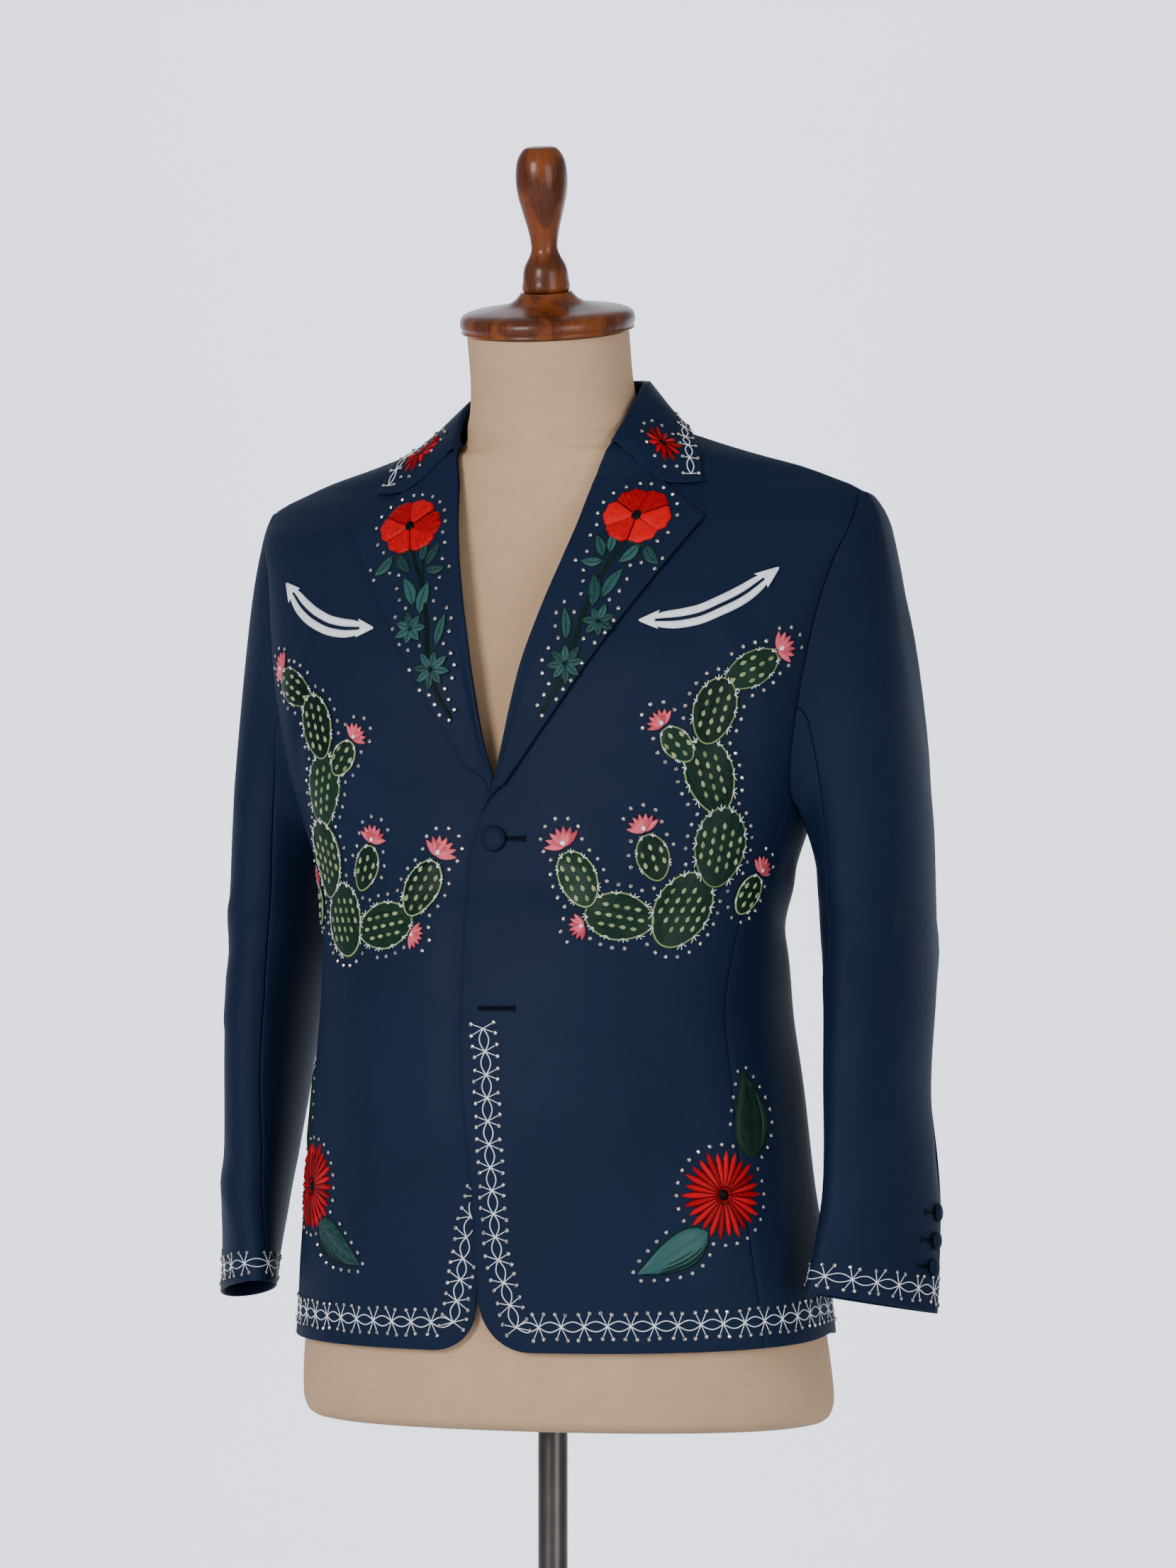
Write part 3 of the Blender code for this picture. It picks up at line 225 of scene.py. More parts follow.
FINIAL_PROFILE = (
    (0.0, 0.1100), (0.0104, 0.1096), (0.0150, 0.1060), (0.0186, 0.0985), (0.0199, 0.0865),
    (0.0188, 0.0735), (0.0152, 0.0590), (0.0115, 0.0445), (0.0102, 0.0330), (0.0122, 0.0265),
    (0.0162, 0.0185), (0.0176, 0.0090), (0.0170, 0.0), (0.0, 0.0),
)
PLATE_PROFILE = (
    (0.0, 0.0305), (0.0180, 0.0305), (0.0205, 0.0290), (0.0245, 0.0250), (0.0310, 0.0215),
    (0.0450, 0.0190), (0.0590, 0.0168), (0.0655, 0.0140), (0.0675, 0.0090), (0.0662, 0.0040),
    (0.0600, 0.0), (0.0, 0.0),
)
BASE_PROFILE = (
    (0.0, 0.0440), (0.0240, 0.0440), (0.0280, 0.0400), (0.0300, 0.0220),
    (0.1540, 0.0130), (BASE_RADIUS, 0.0080), (BASE_RADIUS, 0.0), (0.0, 0.0),
)


def column(rows, names, name):
    return np.array([row[names.index(name)] for row in rows], float)


def paired(a, b):
    """Two arrays of numbers, spread to one shape."""
    return np.broadcast_arrays(np.asarray(a, float), np.asarray(b, float))


def run_along(points, axis=0):
    """The distance to each point from the first one, along an axis of an array of points."""
    step = np.linalg.norm(np.diff(points, axis=axis), axis=-1)
    return np.concatenate([0 * np.take(step, [0], axis), np.cumsum(step, axis)], axis)


def smooth(at, knots, values):
    """A monotone cubic through the knots, so that a table of sections never overshoots."""
    at = np.clip(at, knots[0], knots[-1])
    step = np.diff(knots)
    rise = np.diff(values) / step
    slope = np.zeros(len(knots))
    slope[0] = rise[0]
    slope[-1] = rise[-1]
    for i in range(1, len(knots) - 1):
        if rise[i - 1] * rise[i] > 0:
            slope[i] = 2 * rise[i - 1] * rise[i] / (rise[i - 1] + rise[i])
    i = np.clip(np.searchsorted(knots, at, side="right") - 1, 0, len(step) - 1)
    h = step[i]
    u = (at - knots[i]) / h
    return (
        values[i] * (1 + 2 * u) * (1 - u) ** 2
        + slope[i] * h * u * (1 - u) ** 2
        + values[i + 1] * u**2 * (3 - 2 * u)
        + slope[i + 1] * h * u**2 * (u - 1)
    )


def table_at(rows, names, key, at):
    """Every column of a table, smoothly read at one value of its key column."""
    knots = column(rows, names, key)
    order = np.argsort(knots)
    return {
        name: smooth(at, knots[order], column(rows, names, name)[order])
        for name in names
        if name != key
    }


def body(turn, height):
    """The jacket's outer surface. turn is 0 at the centre front, 90 degrees at the wearer's left."""
    turn, height = paired(turn, height)
    at = table_at(BODY_ROWS, BODY_COLUMNS, "height", height)
    s, c = np.sin(turn), np.cos(turn)
    ahead = c > 0
    power = 2 / np.where(ahead, at["front_square"], at["back_square"])
    depth = np.where(ahead, at["side_y"] - at["front_y"], at["back_y"] - at["side_y"])
    x = at["half_width"] * np.sign(s) * np.abs(s) ** power
    y = at["side_y"] - depth * np.sign(c) * np.abs(c) ** power
    return np.stack([x, y, height], -1)


def unit(vectors):
    return vectors / np.maximum(np.linalg.norm(vectors, axis=-1, keepdims=True), 1e-12)


def surface_normal(surface, u, v, du=1e-2, dv=1e-3):
    across = surface(u + du, v) - surface(u - du, v)
    up = surface(u, v + dv) - surface(u, v - dv)
    return unit(np.cross(across, up))


def turn_at_x(x, height):
    """The turn at which the front of the body's ring at this height reaches this x."""
    at = table_at(BODY_ROWS, BODY_COLUMNS, "height", np.asarray(height, float))
    share = np.clip(np.abs(x) / at["half_width"], 0, 1)
    return np.sign(x) * np.arcsin(share ** (at["front_square"] / 2))


def edge_x(side, height):
    knots = column(EDGE_ROWS, EDGE_COLUMNS, "height")
    return smooth(height, knots, column(EDGE_ROWS, EDGE_COLUMNS, side + "_x"))


def armhole_share(height):
    """How far round the armhole reaches at this height, as a share of its widest."""
    share = np.clip((height - ARMHOLE_MIDDLE_Z) / ARMHOLE_HALF, -1, 1)
    return (1 - share**2) ** (ARMHOLE_ROUNDING / 2)


def seam_turn(height, low_deg, armhole_deg):
    """The turn of a front or back panel's side edge: its side seam, the armhole, the shoulder."""
    side = math.radians(90)
    hole = side + math.radians(armhole_deg) * armhole_share(height)
    joined = side + math.radians(armhole_deg) * armhole_share(np.asarray(SEAM_MEETS_ARMHOLE))
    rise = np.clip((height - 1.0) / (SEAM_MEETS_ARMHOLE - 1.0), 0, 1)
    low = math.radians(low_deg) + (joined - math.radians(low_deg)) * rise**2 * (3 - 2 * rise)
    return np.where(height < SEAM_MEETS_ARMHOLE, low, hole)


FRONT_SEAM_DEG = 61.0
BACK_SEAM_DEG = 125.0


def front_seam(height):
    return seam_turn(height, FRONT_SEAM_DEG, -ARMHOLE_FRONT_DEG)


def back_seam(height):
    return seam_turn(height, BACK_SEAM_DEG, ARMHOLE_BACK_DEG)


def hem_height(turn):
    """The hem rises a little from the front to the side and falls again to the back."""
    ahead = np.clip(np.cos(turn), 0, 1) ** 0.5
    behind = np.clip(-np.cos(turn), 0, 1) ** 0.5
    return HEM_SIDE + (HEM_FRONT - HEM_SIDE) * ahead + (HEM_BACK - HEM_SIDE) * behind


def draw_in(points, *borders, by=SEAM / 2):
    """Moves the named borders of a grid inward by half the clear space of a seam."""
    points = points.copy()
    pairs = {
        "first_column": ((slice(None), 0), (slice(None), 1)),
        "last_column": ((slice(None), -1), (slice(None), -2)),
        "first_row": ((0, slice(None)), (1, slice(None))),
        "last_row": ((-1, slice(None)), (-2, slice(None))),
    }
    for border in borders:
        edge, inside = pairs[border]
        points[edge] += unit(points[inside] - points[edge]) * by
    return points


BODY_HEIGHTS = (
    0.800, 0.850, 0.905, 0.960, 1.015, 1.065, 1.110, 1.145, 1.175,
    1.205, 1.240, 1.275, 1.310, 1.340, 1.363, 1.380, 1.393, 1.4015, 1.407,
    1.418, 1.4275, 1.435, 1.443, 1.452, 1.461,
)
SIDE_SHARES = (0, 0.2, 0.4, 0.6, 0.8, 1)


def spread_turns(first, last, heights, shares):
    """Turns that divide each ring's arc between two ends in the given shares of its length."""
    fine = first[:, None] + (last - first)[:, None] * np.linspace(0, 1, 201)
    run = run_along(body(fine, heights[:, None]), axis=1)
    return np.array([np.interp(np.array(shares) * r[-1], r, f) for r, f in zip(run, fine)])


UNDERLAP_DEPTH = CLOTH + 2 * SEAM
UNDERLAP_FLAT = 0.024
UNDERLAP_ENDS = 0.050


def side_top_turns():
    ends = front_seam(SEAM_MEETS_ARMHOLE - 1e-9), back_seam(SEAM_MEETS_ARMHOLE - 1e-9)
    return ends[0] + (ends[1] - ends[0]) * np.array(SIDE_SHARES)


def side_top_sine(turn):
    """The sine of the armhole's own angle at these turns along its foot."""
    off = turn - math.radians(90)
    reach = np.radians(np.where(off < 0, ARMHOLE_FRONT_DEG, ARMHOLE_BACK_DEG))
    return np.clip(np.abs(off) / reach, 0, 1) ** (1 / ARMHOLE_ROUNDING)


LAPEL_OVERHANG = 0.0016
LAPEL_CLEAR = 0.0009
LAPEL_ROLL_LIFT = 0.0034
LAPEL_ROLL_SHARE = 0.16
LAPEL_FOOT_GAP = 0.0060


def lapel_line(side, share):
    """The roll point and the outer point of the lapel at a share of its length."""
    knots = np.linspace(0, 1, len(LAPEL_ROWS))
    out_x = smooth(share, knots, column(LAPEL_ROWS, LAPEL_COLUMNS, side + "_x"))
    out_z = smooth(share, knots, column(LAPEL_ROWS, LAPEL_COLUMNS, side + "_z"))
    foot = LAPEL_FOOT_Z[side]
    roll_z = foot + (GORGE_Z - SEAM - foot) * share
    roll_x = edge_x("left", roll_z)
    if side == "right":
        # The left front lies over the foot of this lapel, so it stops short of that edge.
        roll_x = np.maximum(roll_x, LAPEL_FOOT_GAP - roll_x)
    return roll_x, roll_z, out_x, out_z


def body_height(x, y):
    """How high the body's outer surface is over a point of the shoulders."""
    low = np.full(np.shape(x), 1.20)
    high = np.full(np.shape(x), 1.472)
    for _ in range(40):
        middle = (low + high) / 2
        at = table_at(BODY_ROWS, BODY_COLUMNS, "height", middle)
        ahead = y < at["side_y"]
        depth = np.where(ahead, at["side_y"] - at["front_y"], at["back_y"] - at["side_y"])
        power = np.where(ahead, at["front_square"], at["back_square"])
        reach = np.abs(x / at["half_width"]) ** power + np.abs((y - at["side_y"]) / depth) ** power
        low = np.where(reach < 1, middle, low)
        high = np.where(reach < 1, high, middle)
    return (low + high) / 2


COLLAR_STEPS = 13
COLLAR_FALL_SHARES = (0.06, 0.16, 0.34, 0.55, 0.78, 1)
COLLAR_FOLD_HALF = 0.0022
COLLAR_CROWN = 0.0010
COLLAR_CLEAR = 0.0017
COLLAR_MIDDLE_CLEAR = 0.0030
COLLAR_NOTCH_SHARE = 0.62  # how far out along the front end its bend toward the notch is largest


def collar_half():
    """Middle points of the collar's cloth on the wearer's left, front end to centre back."""
    along = np.linspace(0, 1, COLLAR_STEPS) ** 0.9
    at = table_at(COLLAR_ROWS, COLLAR_COLUMNS, "along", along)
    seam, fold, edge = (
        np.stack([at[part + "_x"], at[part + "_y"], at[part + "_z"]], -1)
        for part in ("seam", "fold", "edge")
    )
    outward = unit((edge - fold) * (1, 1, 0))
    sheet = [seam, seam + (fold - outward * COLLAR_FOLD_HALF - seam) * 0.55]
    sheet.append(fold - outward * COLLAR_FOLD_HALF - (0, 0, 0.003))
    sheet.append(fold - (0, 0, 0.0004))
    notch = np.array([NOTCH_X, 0, 0])
    notch[1] = body(turn_at_x(NOTCH_X, NOTCH_Z), NOTCH_Z)[1]
    notch[2] = NOTCH_Z
    straight = fold[0] + (edge[0] - fold[0]) * COLLAR_NOTCH_SHARE
    for share in COLLAR_FALL_SHARES:
        point = fold + (edge - fold) * share
        point[:, 2] += COLLAR_CROWN * math.sin(math.pi * share) * np.clip(along / 0.4, 0, 1)
        if share < COLLAR_NOTCH_SHARE:
            pull = share / COLLAR_NOTCH_SHARE
        else:
            pull = (1 - share) / (1 - COLLAR_NOTCH_SHARE)
        weight = np.clip(1 - along / 0.35, 0, 1) ** 1.5
        point += (notch - straight) * pull * weight[:, None]
        sheet.append(point)
    grid = np.stack(sheet, 1)
    fall = grid[:, 4:]
    # The fall's edge rests on the shoulders and its middle stands clear of the neck seam.
    clear = COLLAR_CLEAR + COLLAR_MIDDLE_CLEAR * (1 - np.array(COLLAR_FALL_SHARES)) + CLOTH / 2
    floor = body_height(fall[..., 0], fall[..., 1]) + clear
    grid[:, 4:, 2] = np.maximum(fall[..., 2], floor)
    return grid


def armhole(phi):
    """The armhole on the body. phi is 0 at the shoulder, 90 degrees at the front."""
    s = np.sin(phi)
    reach = np.where(s > 0, -math.radians(ARMHOLE_FRONT_DEG), math.radians(ARMHOLE_BACK_DEG))
    turn = math.radians(90) + reach * np.abs(s) ** ARMHOLE_ROUNDING
    return turn, ARMHOLE_MIDDLE_Z + ARMHOLE_HALF * np.cos(phi)


def armhole_phis(low_part):
    """The places round the armhole where the front, side and back panels have their points."""
    rise = [h for h in BODY_HEIGHTS if SEAM_MEETS_ARMHOLE <= h <= ARMHOLE_TOP]
    down = np.arccos(np.clip((np.array(rise[::-1]) - ARMHOLE_MIDDLE_Z) / ARMHOLE_HALF, -1, 1))
    if not low_part:
        return down
    turn = side_top_turns()[1:-1]
    return np.pi - np.sign(math.radians(90) - turn) * np.arcsin(side_top_sine(turn))


def sleeve_ring(phi, row):
    knots = np.arange(1, len(SLEEVE_ROWS) + 1, dtype=float)
    at = {
        name: smooth(row, knots, column(SLEEVE_ROWS, SLEEVE_COLUMNS, name)) for name in SLEEVE_COLUMNS
    }
    # The upper rings keep the armhole's own outline seen from the side.
    fade = np.clip((SLEEVE_EVEN_ROW - row) / (SLEEVE_EVEN_ROW - 1), 0, 1)
    across = at["half_width"] * np.cos(phi)
    own = body(*armhole(phi))[..., 1] - ARMHOLE_MIDDLE_Y
    back = own * fade - at["half_depth"] * np.sin(phi) * (1 - fade)
    twist = np.radians(at["twist_deg"])
    x = at["mid_x"] + across * np.cos(twist) + back * np.sin(twist)
    y = at["mid_y"] - across * np.sin(twist) + back * np.cos(twist)
    z = at["mid_z"] + at["half_rise"] * np.cos(phi) + at["front_rise"] * np.sin(phi)
    return np.stack([x, y, z], -1)


def ring_normal(phi, row):
    around = sleeve_ring(phi - 1e-3, row) - sleeve_ring(phi + 1e-3, row)
    low = np.minimum(row + 0.05, len(SLEEVE_ROWS))
    high = np.maximum(low - 0.1, 1)
    return unit(np.cross(around, sleeve_ring(phi, high) - sleeve_ring(phi, low)))


def sleeve_start(phi):
    """The sleeve's first points, just clear of the panels, and the way its wall faces there."""
    turn, height = armhole(phi)
    on_body = body(turn, height)
    facing = surface_normal(body, turn, height)
    ones = np.ones(np.shape(phi))
    first = sleeve_ring(phi, ones)
    around = sleeve_ring(phi - 1e-3, ones) - sleeve_ring(phi + 1e-3, ones)
    own = unit(np.cross(around, on_body - first))
    likeness = np.clip(((own * facing).sum(-1, keepdims=True) - 0.1) / 0.6, 0, 1)
    middle = body(math.radians(95), ARMHOLE_MIDDLE_Z)
    toward = middle - on_body
    toward = unit(toward - facing * (toward * facing).sum(-1, keepdims=True))
    start = on_body + toward * SEAM * 1.6 + facing * (SEAM + 0.0002) * (1 - likeness)
    return start, unit(facing * likeness + own * (1 - likeness))


def sleeve(phi, row):
    """The sleeve's outer surface: row 0 is the armhole and the last row is the cuff."""
    phi, row = paired(phi, row)
    share = np.clip(row, 0, 1)[..., None]
    return sleeve_start(phi)[0] * (1 - share) + sleeve_ring(phi, np.maximum(row, 1)) * share


def sleeve_normal(phi, row):
    phi, row = paired(phi, row)
    share = np.clip(row, 0, 1)[..., None]
    return unit(sleeve_start(phi)[1] * (1 - share) + ring_normal(phi, np.maximum(row, 1)) * share)


SLEEVE_END = len(SLEEVE_ROWS)
SLEEVE_GRID = (0, 0.4, 1, 2, 3, 4, 5, 6, 7.5, 8.5, 9.3, 10, 10.7, 11.5, 12.5, SLEEVE_END)


def pocket_line(share):
    knots = np.linspace(0, 1, len(POCKET_ROWS))
    return tuple(
        smooth(share, knots, column(POCKET_ROWS, POCKET_COLUMNS, name)) for name in POCKET_COLUMNS
    )


def button_profile(radius, height):
    return (
        (0.0, height), (radius * 0.55, height * 0.92), (radius * 0.88, height * 0.68),
        (radius, height * 0.38), (radius * 0.90, height * 0.12), (radius * 0.70, 0.0), (0.0, 0.0),
    )


NECK_RINGS = ((1.462, 0.0690, 0.0660), (1.476, 0.0650, 0.0640), (1.500, 0.0626, 0.0626))


def head_lean_direction():
    turn = math.radians(HEAD_TURN_DEG)
    return np.array([math.sin(turn), -math.cos(turn), 0.0])


def neck_middle(height):
    lean = math.tan(math.radians(NECK_LEAN_DEG))
    return NECK_TOP_Y + (NECK_TOP_Z - height) * lean


SHELL = 0.0018  # thickness of a cloth shell, whose border is half round
EDGE_ANGLES = (35.0, 70.0, 110.0, 145.0)


def grid_faces(rows, columns, closed=False):
    """Quads of a grid of points stored row by row."""
    across = np.arange(columns if closed else columns - 1)
    i, j = np.meshgrid(np.arange(rows - 1) * columns, across, indexing="ij")
    i, j = i.ravel(), j.ravel()
    k = (j + 1) % columns
    return np.stack([i + j, i + k, i + columns + k, i + columns + j], 1)


def closed_rings(rings, ends):
    """Points and faces of rings joined in a row and closed at both ends, each by a point."""
    rows, steps = rings.shape[:2]
    count = rows * steps
    k = np.arange(steps)
    n = (k + 1) % steps
    none = np.full(steps, -1)
    first = np.stack([n, k, none + 1 + count, none], 1)
    last = np.stack([count - steps + k, count - steps + n, none + 2 + count, none], 1)
    faces = np.concatenate([grid_faces(rows, steps, closed=True), first, last])
    return np.concatenate([rings.reshape(-1, 3), ends]), faces


def border_loop(rows, columns):
    """Indices of the border points of a grid, in order."""
    grid = np.arange(rows * columns).reshape(rows, columns)
    return np.concatenate([grid[0], grid[1:, -1], grid[-1, -2::-1], grid[-2:0:-1, 0]])


def new_object(name, points, faces, material, uv=None, smooth_shade=True):
    """A mesh from arrays: points, quads (a last index of -1 makes a triangle), a UV for each point."""
    faces = np.asarray(faces)
    mesh = bpy.data.meshes.new(name)
    triangles = faces[:, 3] < 0
    sizes = np.where(triangles, 3, 4)
    corners = faces.ravel()
    corners = corners[corners >= 0]
    mesh.vertices.add(len(points))
    mesh.vertices.foreach_set("co", np.asarray(points, np.float32).ravel())
    mesh.loops.add(len(corners))
    mesh.loops.foreach_set("vertex_index", corners.astype(np.int32))
    mesh.polygons.add(len(faces))
    starts = np.concatenate([[0], np.cumsum(sizes)[:-1]])
    mesh.polygons.foreach_set("loop_start", starts.astype(np.int32))
    mesh.polygons.foreach_set("use_smooth", np.full(len(faces), smooth_shade))
    mesh.update(calc_edges=True)
    if uv is not None:
        layer = mesh.uv_layers.new(name="UVMap")
        layer.data.foreach_set("uv", np.asarray(uv, np.float32)[corners].ravel())
    mesh.validate()
    mesh.materials.append(material)
    obj = bpy.data.objects.new(name, mesh)
    bpy.context.scene.collection.objects.link(obj)
    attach(obj, "root")
    return obj


def mirror_mesh(points, faces):
    """The same mesh on the wearer's other side."""
    quads = faces[:, 3] >= 0
    turned = np.where(quads[:, None], faces[:, ::-1], faces[:, [2, 1, 0, 3]])
    return points * (-1, 1, 1), turned


def rounded_shell(points, normals, thickness=SHELL):
    """A closed shell under a grid of outer points, with a half-round edge: points, faces, UVs.

    UVs are metres along the cloth, so a weave has one size everywhere.
    """
    rows, columns = points.shape[:2]
    radius = thickness / 2
    inward = np.zeros_like(points)
    inward[:, 0] += unit(points[:, 1] - points[:, 0])
    inward[:, -1] += unit(points[:, -2] - points[:, -1])
    inward[0] += unit(points[1] - points[0])
    inward[-1] += unit(points[-2] - points[-1])
    inward -= normals * (inward * normals).sum(-1, keepdims=True)
    outer = points + inward * radius
    u = run_along(outer, axis=1)
    u -= u[:, columns // 2][:, None]
    v = run_along(outer)
    uv = np.stack([u, v + outer[0, :, 2].mean()], -1).reshape(-1, 2)
    loop = border_loop(rows, columns)
    flat, away, facing = (a.reshape(-1, 3) for a in (outer, -inward, normals))
    rings = []
    for angle in EDGE_ANGLES:
        a = math.radians(angle)
        out, down = away[loop] * radius * math.sin(a), facing[loop] * radius * (1 - math.cos(a))
        rings.append(flat[loop] + out - down)
    inner = flat - facing * thickness
    count, side = len(flat), len(loop)
    all_points = np.concatenate([flat, inner, *rings])
    top = grid_faces(rows, columns)
    faces = [top, (top + count)[:, ::-1]]
    layers = [loop, *(2 * count + k * side + np.arange(side) for k in range(len(rings))), loop + count]
    for a, b in zip(layers, layers[1:]):
        faces.append(np.stack([np.roll(a, -1), a, b, np.roll(b, -1)], 1))
    all_uv = np.concatenate([uv, uv, *(uv[loop] for _ in rings)])
    return all_points, np.concatenate(faces), all_uv


def refine(values, parts):
    """The same list with each step divided into equal parts."""
    values = np.asarray(values, float)
    knots = np.arange(len(values)) * parts
    return np.interp(np.arange(knots[-1] + 1), knots, values)


def spline(points, count, axis=0):
    """A Catmull-Rom curve through points, sampled evenly in its parameter along one axis."""
    points = np.moveaxis(np.asarray(points, float), axis, 0)
    last = len(points) - 1
    at = np.linspace(0, last, count)
    i = np.minimum(at.astype(int), last - 1)
    t = (at - i).reshape((-1,) + (1,) * (points.ndim - 1))
    before = np.where((i > 0).reshape(t.shape), points[np.maximum(i - 1, 0)], 2 * points[0] - points[1])
    end = 2 * points[last] - points[last - 1]
    after = np.where((i + 2 <= last).reshape(t.shape), points[np.minimum(i + 2, last)], end)
    a, b = points[i], points[i + 1]
    curve = 0.5 * (
        2 * a + (b - before) * t + (2 * before - 5 * a + 4 * b - after) * t**2
        + (3 * a - before - 3 * b + after) * t**3
    )
    return np.moveaxis(curve, 0, axis)


# Soft folds pressed into the cloth, in metres: each runs from (s, z) to (s, z), and has a half
# width and a rise. On the body s is the distance round from the centre front, and z the height.
FRONT_CREASES = {
    "left": (
        (0.018, 1.136, 0.120, 1.098, 0.012, 0.0016),
        (0.020, 1.120, 0.135, 1.062, 0.011, -0.0013),
        (0.060, 1.160, 0.175, 1.190, 0.014, 0.0012),
        (0.105, 0.990, 0.118, 0.800, 0.020, 0.0020),
        (0.150, 1.010, 0.172, 0.820, 0.018, -0.0014),
        (0.060, 0.960, 0.052, 0.800, 0.016, -0.0010),
        (0.165, 1.330, 0.205, 1.230, 0.013, 0.0018),
        (0.185, 1.265, 0.200, 1.150, 0.012, -0.0012),
    ),
    "right": (
        (0.030, 1.130, 0.125, 1.088, 0.012, 0.0014),
        (0.030, 1.112, 0.118, 1.050, 0.012, -0.0012),
        (0.070, 1.150, 0.170, 1.178, 0.014, 0.0010),
        (0.095, 0.985, 0.110, 0.805, 0.021, 0.0018),
        (0.150, 1.000, 0.166, 0.830, 0.017, -0.0013),
        (0.160, 1.325, 0.203, 1.222, 0.013, 0.0016),
        (0.180, 1.255, 0.202, 1.140, 0.012, -0.0012),
    ),
}
SIDE_CREASES = {
    "left": (
        (0.255, 1.120, 0.330, 1.090, 0.012, 0.0014),
        (0.250, 1.085, 0.335, 1.060, 0.012, -0.0012),
        (0.285, 1.000, 0.300, 0.800, 0.020, 0.0018),
    ),
    "right": (
        (0.250, 1.112, 0.335, 1.080, 0.013, 0.0015),
        (0.255, 1.075, 0.330, 1.048, 0.011, -0.0012),
        (0.290, 0.990, 0.296, 0.810, 0.021, 0.0017),
    ),
}
BACK_CREASES = {
    "left": (
        (0.400, 1.118, 0.520, 1.095, 0.013, 0.0016),
        (0.395, 1.080, 0.500, 1.070, 0.012, -0.0014),
        (0.420, 1.330, 0.470, 1.200, 0.018, 0.0020),
        (0.440, 0.980, 0.455, 0.790, 0.022, 0.0022),
        (0.505, 0.960, 0.500, 0.800, 0.018, -0.0012),
    ),
    "right": (
        (0.405, 1.110, 0.515, 1.088, 0.013, 0.0017),
        (0.400, 1.072, 0.495, 1.056, 0.012, -0.0013),
        (0.425, 1.340, 0.468, 1.210, 0.018, 0.0018),
        (0.450, 0.970, 0.462, 0.800, 0.021, 0.0021),
    ),
}
# On a sleeve s is the distance round it from its outermost line, forward positive.
SLEEVE_CREASES = {
    "left": (
        (0.040, 1.075, 0.125, 1.110, 0.0120, 0.0022),
        (0.030, 1.045, 0.130, 1.085, 0.0110, -0.0016),
        (0.045, 1.015, 0.125, 1.040, 0.0120, 0.0016),
        (-0.020, 1.330, -0.060, 1.180, 0.0140, 0.0018),
        (-0.085, 1.020, -0.040, 1.075, 0.0120, 0.0016),
        (0.020, 0.900, 0.075, 0.860, 0.0140, 0.0014),
        (-0.060, 0.960, -0.052, 0.870, 0.0100, -0.0012),
    ),
    "right": (
        (0.045, 1.082, 0.128, 1.112, 0.0120, 0.0020),
        (0.032, 1.052, 0.125, 1.080, 0.0110, -0.0016),
        (0.040, 1.005, 0.120, 1.030, 0.0130, 0.0017),
        (-0.015, 1.320, -0.055, 1.190, 0.0140, 0.0016),
        (-0.080, 1.030, -0.038, 1.080, 0.0120, 0.0017),
        (0.015, 0.890, 0.070, 0.850, 0.0140, 0.0012),
    ),
}
CREASE_DEPTH = 1.35  # by how much every crease is deepened


def crease(rows, s, z):
    """How far the cloth is lifted by a table of creases at each distance round and height."""
    lift = np.zeros(np.broadcast(s, z).shape)
    for from_s, from_z, to_s, to_z, half_width, rise in rows:
        run_s, run_z = to_s - from_s, to_z - from_z
        length = math.hypot(run_s, run_z)
        along = ((s - from_s) * run_s + (z - from_z) * run_z) / length**2
        off = ((s - from_s) * run_z - (z - from_z) * run_s) / length
        off = off + 0.15 * half_width * np.sin(along * 7.0 + from_z * 40.0)
        inside = np.clip(1 - np.abs(along * 2 - 1) ** 3, 0, 1)
        wide = half_width * (0.75 + 0.5 * np.clip(along, 0, 1))
        lift += rise * inside * np.exp(-((off / wide) ** 2))
    return lift * CREASE_DEPTH


GIRTH_LEVELS = np.linspace(0.74, 1.472, 240)
GIRTH_TURNS = np.linspace(0, math.pi, 1441)
GIRTH_STEPS = np.linspace(0, 0.62, 1241)


def girth_tables():
    """Distance round the body for each turn and height, and the turn for each distance."""
    run = run_along(body(GIRTH_TURNS, GIRTH_LEVELS[:, None]), axis=1)
    return run, np.array([np.interp(GIRTH_STEPS, r, GIRTH_TURNS) for r in run])


GIRTH, TURNS = girth_tables()


def look_up(table, levels, steps, z, s):
    """A table read between its levels and its steps."""
    z, s = paired(z, s)
    i = np.clip((z - levels[0]) / (levels[1] - levels[0]), 0, len(levels) - 1.001)
    j = np.clip((s - steps[0]) / (steps[1] - steps[0]), 0, len(steps) - 1.001)
    a, b = i.astype(int), j.astype(int)
    p, q = i - a, j - b
    return (
        table[a, b] * (1 - p) * (1 - q) + table[a + 1, b] * p * (1 - q)
        + table[a, b + 1] * (1 - p) * q + table[a + 1, b + 1] * p * q
    )


def round_from_front(turn, z):
    return look_up(GIRTH, GIRTH_LEVELS, GIRTH_TURNS, z, turn)


def turn_at(s, z):
    """The turn at a distance round from the centre front, either way."""
    s = np.asarray(s, float)
    return np.sign(s) * look_up(TURNS, GIRTH_LEVELS, GIRTH_STEPS, z, np.abs(s))


# Where the fine panels have their columns, as shares of each ring's arc.
FINE_SHARES = {
    "front": np.concatenate([
        np.linspace(0, 0.10, 10), np.linspace(0.10, 0.96, 46)[1:], [0.98, 1.0],
    ]),
    "side": np.concatenate([[0, 0.05], np.linspace(0.12, 0.88, 14), [0.95, 1.0]]),
    "back": np.concatenate([[0, 0.02, 0.05], np.linspace(0.09, 0.95, 34), [0.98, 1.0]]),
}
FINE_STEP = 0.006
FINE_FROM = 0.84
HEM_ROWS = 12
SIDE_EVEN_BELOW = 1.120


